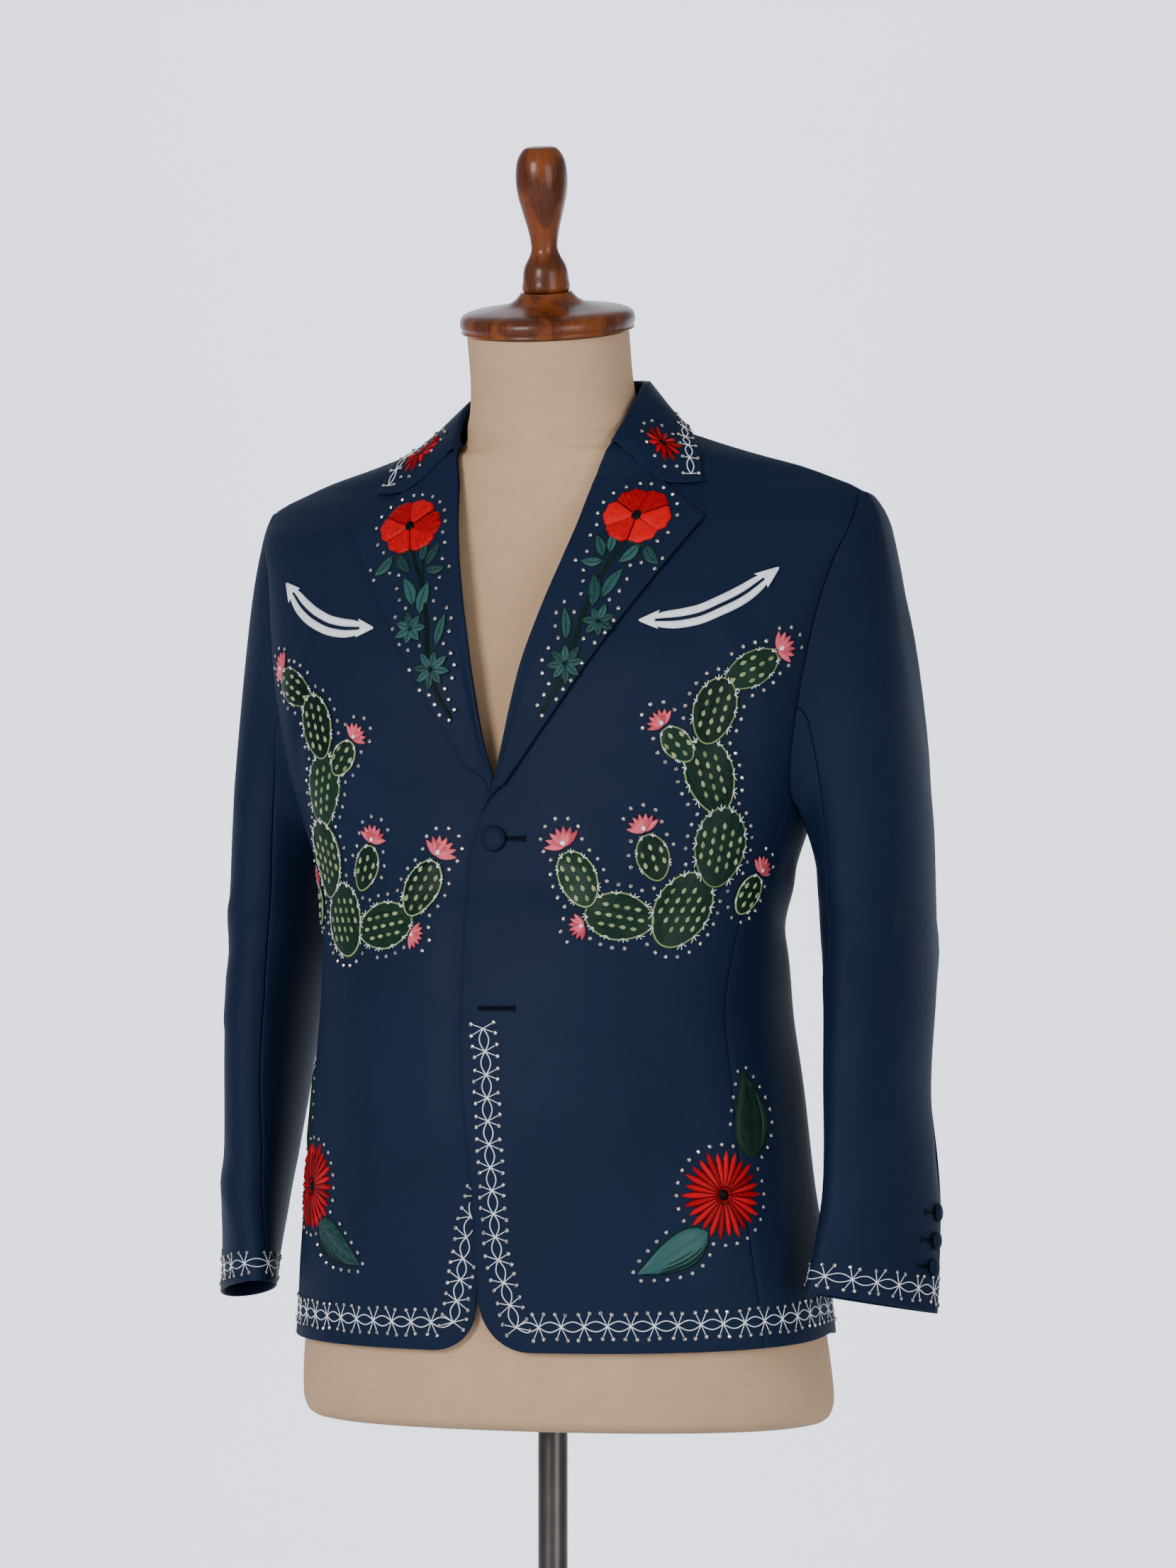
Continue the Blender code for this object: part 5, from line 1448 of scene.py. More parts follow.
class Ground:
    """A surface to sew on: surface(s, z) gives its points and the way that they face."""

    def __init__(self, work, surface, mirrored):
        self.work, self.surface, self.mirrored = work, surface, mirrored

    def lifted(self, by):
        def at(s, z):
            points, normals = self.surface(s, z)
            return points + normals * by, normals
        return Ground(self.work, at, self.mirrored)

    def sew(self, material, s, z, lift, u, v, closed=False):
        """A grid of thread lifted off the surface. Its number is added to U."""
        points, normals = self.surface(s, z)
        faces = grid_faces(*points.shape[:2], closed)
        points = (points + normals * lift[..., None]).reshape(-1, 3)
        self.work.number += 1
        uv = np.stack(np.broadcast_arrays(self.work.number + u, v), -1).reshape(-1, 2)
        bundle = self.work.bundles.setdefault(material, Bundle())
        bundle.add(points, faces, uv, self.mirrored, normals.reshape(-1, 3).mean(0))

    def cord(self, material, places, size, taper=0.0):
        """A half-round cord of thread along these places; size is its width and its rise."""
        width, rise = size
        places = np.asarray(places, float)
        direction = unit(np.gradient(places, axis=0))
        across = np.stack([-direction[:, 1], direction[:, 0]], -1)
        share = 1 - taper * np.abs(2 * np.linspace(0, 1, len(places)) - 1) ** 3
        off = np.sin(CORD_SIDES) * (width / 2 * share)[:, None]
        lift = (np.cos(CORD_SIDES) + 0.15) * (rise * share)[:, None]
        spot = places[:, None] + across[:, None] * off[..., None]
        u = np.linspace(0.02, 0.98, len(CORD_SIDES))
        v = run_along(places)[:, None] / width / 3
        self.sew(material, spot[..., 0], spot[..., 1], lift, u, v)

    def leaf(
        self, material, foot, tip, width, bend=0.0, rise=0.0010, point=0.8, vein=True, swell=0.85,
    ):
        """A satin-stitched leaf or petal from its foot to its tip, domed, with a sunk midrib."""
        foot, length, ahead, beside = leaf_axes(foot, tip)
        t = np.linspace(0, 1, LEAF_ROWS)
        half = np.maximum(width / 2 * np.sin(math.pi * t**swell) ** point, width * 0.02)
        aside = (bend * length * np.sin(math.pi * t))[:, None]
        middle = foot + ahead * (t * length)[:, None] + beside * aside
        spot = middle[:, None, :] + beside * (half[:, None] * LEAF_ACROSS)[..., None]
        q = np.abs(LEAF_ACROSS)
        groove = 0.55 * np.exp(-((LEAF_ACROSS / 0.13) ** 2)) if vein else 0
        ends = np.clip(np.minimum(t, 1 - t) / 0.12, 0.15, 1)[:, None]
        lift = rise * (1 - q**2.5 - groove) * ends + 0.0003 * np.where(q > 0.99, -1, 1)
        t = t[:, None]
        if vein:
            u, v = 0.78 * t + 0.22 * (1 - q), q
        else:
            u, v = LEAF_ACROSS / 2 + 0.5, t * length / width
        self.sew(material, spot[..., 0], spot[..., 1], lift, 0.02 + 0.94 * u, v * 2)

    def spot(self, material, centre, radius, rise):
        """A small domed round of thread."""
        r = SPOT_RINGS[:, None]
        angle = np.linspace(0, 2 * math.pi, SPOT_STEPS, endpoint=False)
        s = centre[0] + radius * r * np.cos(angle)
        z = centre[1] + radius * r * np.sin(angle)
        lift = rise * (1 - r**3) + EDGE_SINKS * (r > 0.99)
        u, v = 0.5 + 0.45 * (np.cos(angle) * r), np.sin(angle) * r
        self.sew(material, s, z, lift, u, v, closed=True)

    def stones(self, places):
        """Rhinestones at these places."""
        places = np.asarray(places, float).reshape(-1, 2)
        points, normals = self.surface(places[:, 0], places[:, 1])
        if self.mirrored:
            points, normals = points * (-1, 1, 1), normals * (-1, 1, 1)
        self.work.stones.append((points, normals))


def panel_creases(side, turn, s, z):
    front, back = front_seam(z), back_seam(z)
    return np.where(
        turn < front, crease(FRONT_CREASES[side], s, z),
        np.where(turn < back, crease(SIDE_CREASES[side], s, z), crease(BACK_CREASES[side], s, z)),
    )


def body_surface(side):
    """The jacket's outer face: distance round from the centre front, and height."""
    def at(s, z):
        s, z = paired(s, z)
        turn = turn_at(s, z)
        normals = surface_normal(body, turn, z)
        points = body(turn, z) + normals * panel_creases(side, turn, s, z)[..., None]
        return tucked(side, points, normals, turn < 1), normals
    return at


def lapel_place(side, s, z):
    """Where a spot of the front is on its lapel: shares across and up, and the lapel's width there."""
    foot = LAPEL_FOOT_Z[side]
    on_front = body(turn_at(s, z), z)
    share = np.clip((z - foot) / (GORGE_Z - foot), 0.05, 1)
    for _ in range(12):
        roll_x, roll_z, out_x, out_z = lapel_line(side, share)
        across = (on_front[..., 0] - roll_x) / np.maximum(out_x - roll_x, 0.004)
        share = np.clip(share + (z - roll_z - (out_z - roll_z) * across) / (GORGE_Z - foot), 0.02, 1)
    return across, share, np.hypot(out_x - roll_x, out_z - roll_z)


def lapel_surface(side):
    """The lapel's outer face, with the same two distances as the front that it lies on."""
    def at(s, z):
        s, z = paired(s, z)
        turn = turn_at(s, z)
        normals = surface_normal(body, turn, z)
        lift = lapel_lift(*lapel_place(side, s, z))
        return body(turn, z) + normals * lift[..., None], normals
    return at


def collar_surface():
    """The collar's fall: distance along its outer edge from the front end, and up from that edge."""
    outer, normals = fine_collar()
    middle = outer.shape[1] // 2
    outer, normals = outer[:, middle:][::-1, ::-1], normals[:, middle:][::-1, ::-1]
    along, up = run_along(outer[0]), run_along(outer)

    def at(s, z):
        s, z = paired(s, z)
        column_at = np.clip(np.interp(s, along, np.arange(len(along))), 0, len(along) - 1.001)
        low = column_at.astype(int)
        part = column_at - low
        heights = up[:, low] * (1 - part) + up[:, low + 1] * part
        row = (heights[1:-1] < z).sum(0)
        under, above = (np.take_along_axis(heights, r[None], 0)[0] for r in (row, row + 1))
        over = ((z - under) / (above - under))[..., None]
        part = part[..., None]

        def read(grid):
            first = grid[row, low] * (1 - part) + grid[row, low + 1] * part
            second = grid[row + 1, low] * (1 - part) + grid[row + 1, low + 1] * part
            return first * (1 - over) + second * over
        return read(outer), unit(read(normals))
    return at


def cuff_surface():
    """The sleeve near its cuff: distance round from its outermost line, and up from the edge."""
    phi = np.linspace(-math.pi, 2 * math.pi, 1081)
    run = sleeve_length(phi, SLEEVE_END)
    step = sleeve(phi, SLEEVE_END) - sleeve(phi, SLEEVE_END - 1)
    rise = np.linalg.norm(step, axis=-1).mean()

    def at(s, z):
        s, z = paired(s, z)
        angle = np.interp(s, run, phi)
        row = SLEEVE_END - z / rise
        return sleeve(angle, row), sleeve_normal(angle, row)
    return at


def along_path(path, count):
    """Even steps along a curve through the points of a path: places and unit directions."""
    fine = spline(np.array(path, float), 40 * len(path))
    run = run_along(fine)
    at = np.linspace(0, run[-1], count)
    places = np.stack([np.interp(at, run, fine[:, k]) for k in (0, 1)], -1)
    return places, unit(np.gradient(places, axis=0)), run[-1]


# Width and rise of each kind of cord.
STEM, TWIG = (0.0034, 0.0011), (0.0018, 0.0008)
LEAF_EDGE, LEAF_RIB = (0.0008, 0.0004), (0.0007, 0.0003)
PETAL_EDGE_SHADE, PETAL_SHADE_LINE = (0.0007, 0.0003), (0.00085, 0.0003)
HIP_STREAK, HIP_EDGE = (0.0022, 0.0006), (0.0010, 0.0005)
PAD_RIM, SPINE = (0.0013, 0.0006), (0.0006, 0.0003)
CHAIN_STRAND, CHAIN_ARM = (0.0008, 0.00035), (0.00062, 0.0003)
# The first of these is the black strip of painted shade in a buttonhole's slit.
SLIT_SHADE_STRIP, STITCHES, BAR = (0.0012, 0.0002), (0.0016, 0.0007), (0.0018, 0.0008)
POPPY_PETALS = 6
POPPY_STEPS = 14
POPPY_RINGS = np.array((0.08, 0.2, 0.35, 0.5, 0.65, 0.8, 0.92, 0.985, 1.0))
POPPY_MIDDLE = 0.0038


def poppy(ground, centre, half_wide, half_high):
    """A six-petalled satin poppy with a black middle; every other petal lies over its neighbours, and a
    wine line of painted shade runs along one overlapped edge of each lower petal.
    """
    r = POPPY_RINGS[:, None]
    q = np.linspace(0, 1, POPPY_STEPS)
    for petal in range(POPPY_PETALS):
        angle = (petal + 0.35 + q) * 2 * math.pi / POPPY_PETALS
        edge = 1 - 0.12 * np.abs(2 * q - 1) ** 3 + 0.022 * np.sin(q * 17 + petal * 2.1)
        s = centre[0] + r * edge * half_wide * np.cos(angle)
        z = centre[1] + r * edge * half_high * np.sin(angle)
        dome = 0.0007 + 0.0009 * (1 - np.abs(2 * q - 1) ** 4) * np.clip((1 - r) / 0.12, 0, 1)
        lift = np.where(r > 0.99, EDGE_SINKS, dome) + 0.0003 * (petal % 2) * (r < 0.99)
        ground.sew("red", s, z, lift, 0.02 + 0.94 * q, 2.2 * r)
        # The wine cord named fold is painted shade along the edge where the neighbouring petal lies over
        # this one.
        if petal % 2 == 0:
            share = np.linspace(0.2, 0.93, 8)[:, None]
            fold = centre + share * (half_wide, half_high) * heading(angle[0])
            ground.lifted(0.0012).cord("wine", fold, PETAL_EDGE_SHADE)
    ground.lifted(0.0019).spot("black", centre, POPPY_MIDDLE, 0.0010)


RAY_FOOT = 0.12  # the petals start this share of the radius from the middle
RAY_SHADE_LINES = np.linspace(0.16, 0.80, 6)[:, None]


def rayed_flower(ground, centre, petals, radius, width, middle, turn=0.0):
    """Narrow pointed petals round a black middle, with a dark wine line of painted shade between each
    two.
    """
    for k in range(petals):
        way = heading(turn + 2 * math.pi * k / petals)
        reach = radius * (1.0 + 0.05 * math.sin(k * 2.4 + 1))
        foot, tip = centre + way * radius * RAY_FOOT, centre + way * reach
        ground.leaf("deep_red", foot, tip, width, rise=0.0012, point=0.62, vein=False)
        # A wine cord between each two petals is painted shade where they meet near the middle.
        gap = heading(turn + 2 * math.pi * (k + 0.5) / petals)
        ground.lifted(0.0013).cord("wine", centre + gap * radius * RAY_SHADE_LINES, PETAL_SHADE_LINE)
    ground.lifted(0.0004).spot("black", centre, middle, 0.0014)


STONE_RADIUS = 0.00160
STONE_SIDES = 8
STONE_SPIN = 2.399  # each stone is turned by this much more than the one before
# Radius and height of each ring, as shares of the stone's radius: the setting's, then the glass's.
SETTING_PROFILE = ((1.12, 0.00), (1.12, 0.30), (0.98, 0.42), (0.90, 0.40))
GLASS_PROFILE = ((0.90, 0.40), (0.86, 0.52), (0.46, 0.86))
GLASS_TOP = 0.92


def build_stones(work):
    """Every rhinestone as one joined mesh, and every metal setting as another."""
    points, normals = (np.concatenate(parts) for parts in zip(*work.stones))
    helper = np.where(np.abs(normals[:, 2:3]) > 0.8, (1.0, 0.0, 0.0), (0.0, 0.0, 1.0))
    side = unit(np.cross(helper, normals))
    ahead = np.cross(normals, side)
    k = np.arange(STONE_SIDES)
    angle = np.linspace(0, 2 * math.pi, STONE_SIDES, endpoint=False)
    turn = angle + (np.arange(len(points)) * STONE_SPIN)[:, None]
    ring = np.cos(turn)[..., None] * side[:, None] + np.sin(turn)[..., None] * ahead[:, None]
    for name, material, slot, profile in (
        ("rhinestone_settings", "setting", "dark_metal", SETTING_PROFILE),
        ("rhinestones", "stone", "white_satin", GLASS_PROFILE),
    ):
        made = [
            points[:, None] + ring * radius * STONE_RADIUS + normals[:, None] * rise * STONE_RADIUS
            for radius, rise in profile
        ]
        faces = grid_faces(len(profile), STONE_SIDES, closed=True)
        if material == "stone":
            made.append((points + normals * GLASS_TOP * STONE_RADIUS)[:, None])
            top = len(profile) * STONE_SIDES
            start = top - STONE_SIDES
            cap = np.stack([start + k, start + (k + 1) % STONE_SIDES, 0 * k + top, 0 * k - 1], 1)
            faces = np.concatenate([faces, cap])
        made = np.concatenate(made, 1)
        offset = (np.arange(len(points)) * made.shape[1])[:, None, None]
        faces = np.where(faces[None] >= 0, faces[None] + offset, -1).reshape(-1, 4)
        bundle = Bundle()
        bundle.add(made.reshape(-1, 3), faces, np.zeros((made.shape[0] * made.shape[1], 2)))
        bundle.build(name, material, slot, smooth_shade=False)


CHAIN_STEPS = 10
ARM_ACROSS = 0.0095
ARM_ALONG = 0.0042
ARM_THREAD = 0.86  # the thread stops short of the stone at the arm's end


def chain(
    ground, path, pitch, half_width=0.0038, size=1.0, arms=(1, -1),
    skip_first=False, skip_last=False, shown=None,
):
    """Two white threads that cross over and over along a path, a star of arms at each crossing."""
    links = max(2, round(along_path(path, 2)[2] / pitch))
    steps = links * CHAIN_STEPS + 1
    places, direction, _ = along_path(path, steps)
    across = np.stack([-direction[:, 1], direction[:, 0]], -1)
    wave = np.sin(np.arange(steps) * math.pi / CHAIN_STEPS)
    for sign in (1, -1):
        strand = places + across * (sign * half_width * wave)[:, None]
        clear = np.ones(steps, bool) if shown is None else shown(strand)
        for run in np.split(np.arange(steps), np.flatnonzero(np.diff(clear)) + 1):
            if clear[run[0]] and len(run) > 2:
                over = ground.lifted(0.0001 + 0.0001 * (sign + 1))
                over.cord("white", strand[run], CHAIN_STRAND)
    for k in range(int(skip_first), links + 1 - int(skip_last)):
        i = k * CHAIN_STEPS
        for up in (1, -1):
            for ahead in arms:
                wobble = 0.0006 * math.sin(k * 3.7 + up + 2 * ahead)
                reach = across[i] * up * (ARM_ACROSS + wobble)
                reach = reach + direction[i] * ahead * (ARM_ALONG + wobble)
                end = places[i] + reach * size
                if shown is not None and not shown(end[None])[0]:
                    continue
                line = np.linspace(places[i], places[i] + (end - places[i]) * ARM_THREAD, 4)
                ground.lifted(0.0002).cord("white", line, CHAIN_ARM)
                ground.stones(end)


def outline_stones(ground, ovals, spacing, drawn_in=None):
    """Rhinestones round the joined outline of ovals: (s, z, half length, half width, angle)."""
    ovals = np.asarray(ovals, float)
    c, n = np.cos(ovals[:, 4]), np.sin(ovals[:, 4])
    kept = []
    for i, (s, z, long_half, wide_half, angle) in enumerate(ovals):
        count = max(16, round(math.pi * (long_half + wide_half) / spacing * 5))
        turn = np.arange(count) * 2 * math.pi / count
        for spot in turned(s, z, long_half * np.cos(turn), wide_half * np.sin(turn), angle):
            x, y = (spot - ovals[:, :2]).T
            inside = ((x * c + y * n) / ovals[:, 2]) ** 2 + ((y * c - x * n) / ovals[:, 3]) ** 2
            inside[i] = 2
            if (inside < 0.96).any():
                continue
            if drawn_in is not None:
                spot = drawn_in(spot)
            if not too_near(spot, kept, 0.86 * spacing):
                kept.append(spot)
    ground.stones(kept)


def oval_round(foot, tip, width, clear):
    """The oval that a leaf's stones keep to."""
    foot, tip = np.array(foot, float), np.array(tip, float)
    middle, run = (foot + tip) / 2, tip - foot
    return (*middle, np.hypot(*run) / 2 + clear, width / 2 + clear, math.atan2(run[1], run[0]))


# The poppy spray of a lapel, as distances round from the centre front and heights. A leaf is
# its foot and tip, its width and its bend.
POPPY_CENTRE = (0.0940, 1.3835)
POPPY_HALF = (0.0262, 0.0212)
LAPEL_STEM = (
    (0.0900, 1.3680), (0.0850, 1.3575), (0.0735, 1.3355), (0.0690, 1.3220), (0.0645, 1.3060),
    (0.0615, 1.2875), (0.0560, 1.2690), (0.0495, 1.2520), (0.0385, 1.2350),
)
LAPEL_LEAVES = (
    (0.0735, 1.3490, 0.0570, 1.3495, 0.0075, 0.05),
    (0.0735, 1.3530, 0.0655, 1.3690, 0.0080, -0.04),
    (0.0785, 1.3560, 0.0795, 1.3725, 0.0075, 0.03),
    (0.1000, 1.3610, 0.0865, 1.3475, 0.0090, 0.06),
    (0.1045, 1.3600, 0.1170, 1.3450, 0.0090, -0.06),
    (0.0720, 1.3150, 0.0690, 1.3390, 0.0105, -0.04),
    (0.0785, 1.3215, 0.0905, 1.3425, 0.0095, 0.05),
    (0.0545, 1.2900, 0.0500, 1.3140, 0.0075, -0.03),
)
LAPEL_TWIGS = (
    ((0.0735, 1.3355), (0.0750, 1.3450), (0.0775, 1.3560)),
    ((0.0690, 1.3220), (0.0745, 1.3215), (0.0790, 1.3225)),
    ((0.0650, 1.3080), (0.0715, 1.3050), (0.0785, 1.3030)),
    ((0.0600, 1.2820), (0.0570, 1.2860), (0.0545, 1.2905)),
    ((0.0900, 1.3650), (0.0960, 1.3620), (0.1040, 1.3605)),
)
# Each rosette: its middle, radius, number of leaves and first angle.
ROSETTES = ((0.0780, 1.3030, 0.0125, 7, 0.35), (0.0560, 1.2715, 0.0148, 8, 0.10))
ROSETTE_FOOT = 0.0012
ROSETTE_WIDTH = 0.0068
LAPEL_SHIFT = (-0.0035, -0.0020)  # the spray on the wearer's right lapel
POPPY_CLEAR = 0.0046  # how far the stones stay outside what they go round
LEAF_CLEAR = 0.0042
STEM_CLEAR = 0.0062
LAPEL_STONES = 0.0098
STONE_EDGE = 0.0035


def leaf_line(foot, tip, bend, aside, first=0.0, last=1.0, count=12, widest=0.85):
    """Places along a leaf, set aside from its midrib by a share of its shape."""
    foot, tip = np.array(foot, float), np.array(tip, float)
    t = np.linspace(first, last, count)
    ahead = tip - foot
    beside = np.array([-ahead[1], ahead[0]])
    swell = np.sin(math.pi * t)
    off = bend * swell + aside / np.hypot(*ahead) * np.sin(math.pi * t**widest) ** 0.8
    return foot + ahead * t[:, None] + beside * off[:, None]


def edged_leaf(ground, foot, tip, width, bend=0.0):
    """A teal leaf with a dark edge and midrib."""
    ground.leaf("teal", foot, tip, width, bend)
    for aside in (-width / 2, width / 2):
        line = leaf_line(foot, tip, bend, aside, 0.02, 0.98)
        ground.lifted(0.0002).cord("dark_green", line, LEAF_EDGE)
    rib = leaf_line(foot, tip, bend, 0.0, 0.05, 0.80)
    ground.lifted(0.0008).cord("dark_green", rib, LEAF_RIB)


def shift_of(side, shift):
    """How far the work of the wearer's right side is moved from the left one's mirror image."""
    return np.array(shift) if side == "right" else np.zeros(2)


def lapel_spray(work, side):
    ground = Ground(work, lapel_surface(side), side == "right")
    shift = shift_of(side, LAPEL_SHIFT)
    ovals = [(*(POPPY_CENTRE + shift), POPPY_HALF[0] + POPPY_CLEAR, POPPY_HALF[1] + POPPY_CLEAR, 0.0)]
    stem, _, _ = along_path(np.array(LAPEL_STEM) + shift, 60)
    ground.cord("dark_green", stem, STEM, taper=0.3)
    for path in LAPEL_TWIGS:
        ground.cord("dark_green", along_path(np.array(path) + shift, 12)[0], TWIG)
    for foot_s, foot_z, tip_s, tip_z, width, bend in LAPEL_LEAVES:
        foot, tip = np.array((foot_s, foot_z)) + shift, np.array((tip_s, tip_z)) + shift
        edged_leaf(ground.lifted(0.0002), foot, tip, width, bend)
        ovals.append(oval_round(foot, tip, width, LEAF_CLEAR))
    for s, z, radius, leaves, turn in ROSETTES:
        centre = np.array((s, z)) + shift
        for k in range(leaves):
            way = heading(turn + 2 * math.pi * k / leaves)
            reach = radius * (1 + 0.08 * math.sin(2.3 * k))
            edged_leaf(
                ground.lifted(0.0003), centre + way * ROSETTE_FOOT, centre + way * reach, ROSETTE_WIDTH,
            )
        ovals.append((*centre, radius + LEAF_CLEAR, radius + LEAF_CLEAR, 0.0))
    ovals += [(s, z, STEM_CLEAR, STEM_CLEAR, 0.0) for s, z in stem[::3]]
    poppy(ground.lifted(0.0004), POPPY_CENTRE + shift, *POPPY_HALF)

    def onto_lapel(spot):
        """A stone keeps clear of the lapel's outer edge."""
        across, _, width = lapel_place(side, spot[0], spot[1])
        return spot - (max(0.0, across - 1 + STONE_EDGE / width) * width, 0)
    outline_stones(ground, ovals, LAPEL_STONES, onto_lapel)


COLLAR_STAR = (0.0300, 0.0290)
COLLAR_STAR_RING = 0.0195
COLLAR_CHAIN_IN = 0.0085


def collar_work(work, side):
    ground = Ground(work, collar_surface(), side == "right")
    rayed_flower(ground, COLLAR_STAR, 11, 0.0150, 0.0048, 0.0032, turn=0.3)
    ring = COLLAR_STAR + COLLAR_STAR_RING * circle(12)
    ground.stones(ring[ring[:, 1] > 2.1 * COLLAR_CHAIN_IN])
    outer = fine_collar()[0]
    edge = outer[-1, outer.shape[1] // 2:]
    length = np.linalg.norm(np.diff(edge, axis=0), axis=-1).sum()
    along = COLLAR_CHAIN_IN + (length - COLLAR_CHAIN_IN) * np.linspace(0, 1, 9)
    path = [(s, COLLAR_CHAIN_IN) for s in along]
    last = side == "right"
    chain(ground, path, 0.0135, half_width=0.0026, size=0.62, arms=(0,), skip_last=last)


# The rayed flower at each hip, and its leaves: foot, tip, width, bend, thread.
HIP_FLOWER = (0.1830, 0.8760)
HIP_LEAVES = (
    (0.2110, 0.9030, 0.2040, 0.9680, 0.0340, -0.07, "dark_green"),
    (0.1690, 0.8485, 0.1150, 0.8180, 0.0265, 0.03, "teal"),
)
HIP_LEAF_SWELL = 0.68
HIP_LEAF_CLEAR = 0.0050
HIP_STONE_RING = 0.0375
HIP_SHIFT = (-0.002, 0.002)
BODY_STONES = 0.0100  # spacing of the stones on the fronts


def leaf_outline(foot, tip, width, bend):
    """A closed line round a hip leaf, clear of its edge."""
    foot, length, ahead, beside = leaf_axes(foot, tip)
    t = np.linspace(0, 1, 40)
    aside = (bend * length * np.sin(math.pi * t))[:, None]
    middle = foot + ahead * (t * length)[:, None] + beside * aside
    half = width / 2 * np.sin(math.pi * t**HIP_LEAF_SWELL) ** 0.9 + HIP_LEAF_CLEAR
    middle = middle + ahead * (HIP_LEAF_CLEAR * 0.8 * (2 * t - 1) ** 9)[:, None]
    half = half * np.minimum(1, np.minimum(t, 1 - t) / 0.04) ** 0.5
    one, other = middle + beside * half[:, None], middle - beside * half[:, None]
    return np.concatenate([one, other[::-1]])


def inside_outline(spot, outline):
    """Whether a line from the spot, to the side, crosses the outline an odd number of times."""
    s, z = outline.T
    next_s, next_z = np.roll(outline, -1, 0).T
    crosses = (z > spot[1]) != (next_z > spot[1])
    rise = np.where(next_z == z, 1, next_z - z)
    at = s + (spot[1] - z) / rise * (next_s - s)
    return (crosses & (at > spot[0])).sum() % 2 == 1


def stones_round_outlines(ground, outlines, spacing):
    """Rhinestones at even steps along each closed line, where it runs outside the others."""
    kept = []
    for i, outline in enumerate(outlines):
        closed = np.concatenate([outline, outline[:1]])
        run = run_along(closed)
        at = np.linspace(0, run[-1], max(8, round(run[-1] / spacing)), endpoint=False)
        for spot in np.stack([np.interp(at, run, closed[:, k]) for k in (0, 1)], -1):
            if any(inside_outline(spot, other) for k, other in enumerate(outlines) if k != i):
                continue
            if not too_near(spot, kept, 0.7 * spacing):
                kept.append(spot)
    ground.stones(kept)


def hip_flower(work, side):
    ground = Ground(work, body_surface(side), side == "right")
    shift = shift_of(side, HIP_SHIFT)
    outlines = [HIP_FLOWER + shift + HIP_STONE_RING * circle(60)]
    for foot_s, foot_z, tip_s, tip_z, width, bend, thread_name in HIP_LEAVES:
        foot, tip = np.array((foot_s, foot_z)) + shift, np.array((tip_s, tip_z)) + shift
        ground.leaf(
            thread_name, foot, tip, width, bend, rise=0.0014, point=0.9, swell=HIP_LEAF_SWELL,
        )
        other, streaks = ("teal", (-0.30,))
        if thread_name == "teal":
            other, streaks = ("dark_green", (0.16, 0.28, 0.40))
        for share in streaks:
            last = 0.86 - 0.25 * abs(share)
            line = leaf_line(foot, tip, bend, share * width, 0.10, last, 18, HIP_LEAF_SWELL)
            ground.lifted(0.0009).cord(other, line, HIP_STREAK, taper=0.7)
        for aside in (-width / 2, width / 2):
            line = leaf_line(foot, tip, bend, aside, 0.02, 0.98, 20, HIP_LEAF_SWELL)
            ground.lifted(0.0002).cord("dark_green", line, HIP_EDGE)
        outlines.append(leaf_outline(foot, tip, width, bend))
    rayed_flower(ground.lifted(0.0003), HIP_FLOWER + shift, 26, 0.0325, 0.0058, 0.0046)
    stones_round_outlines(ground, outlines, BODY_STONES)


# A flowering prickly-pear spray. A pad is its middle, its half length and width, and its lean
# in degrees; a blossom is its middle, its radius and its lean.
PADS = (
    (0.1480, 1.0880, 0.0320, 0.0235, 62.0),
    (0.1740, 1.1350, 0.0320, 0.0220, 82.0),
    (0.1660, 1.1880, 0.0310, 0.0200, 104.0),
    (0.1690, 1.2360, 0.0270, 0.0170, 74.0),
    (0.1960, 1.2670, 0.0240, 0.0135, 30.0),
    (0.1010, 1.0830, 0.0280, 0.0185, 170.0),
    (0.0680, 1.1110, 0.0240, 0.0150, 118.0),
    (0.1230, 1.1270, 0.0190, 0.0130, 108.0),
    (0.2040, 1.1000, 0.0170, 0.0120, 60.0),
    (0.1420, 1.2110, 0.0160, 0.0110, 130.0),
)
BLOSSOMS = (
    (0.2180, 1.2830, 0.0110, 30.0),
    (0.0550, 1.1380, 0.0120, 118.0),
    (0.1155, 1.1490, 0.0105, 108.0),
    (0.2145, 1.1190, 0.0095, 60.0),
    (0.1300, 1.2270, 0.0095, 130.0),
    (0.0730, 1.0760, 0.0090, 200.0),
)
CACTUS_SHIFT = (-0.010, -0.006)
PAD_RINGS = np.array((0.03, 0.3, 0.55, 0.75, 0.9, 0.975, 1.0))
PAD_STEPS = 36
PAD_LEVEL = 0.00025  # where pads overlap, they lie at different levels
PAD_CLEAR = 0.0048
MARK_STEP = (0.0082, 0.0072)
MARK_HALF = 0.0026
MARK_WIDTH = 0.0030
SPINE_FAN = (-0.35, 0.0, 0.35)


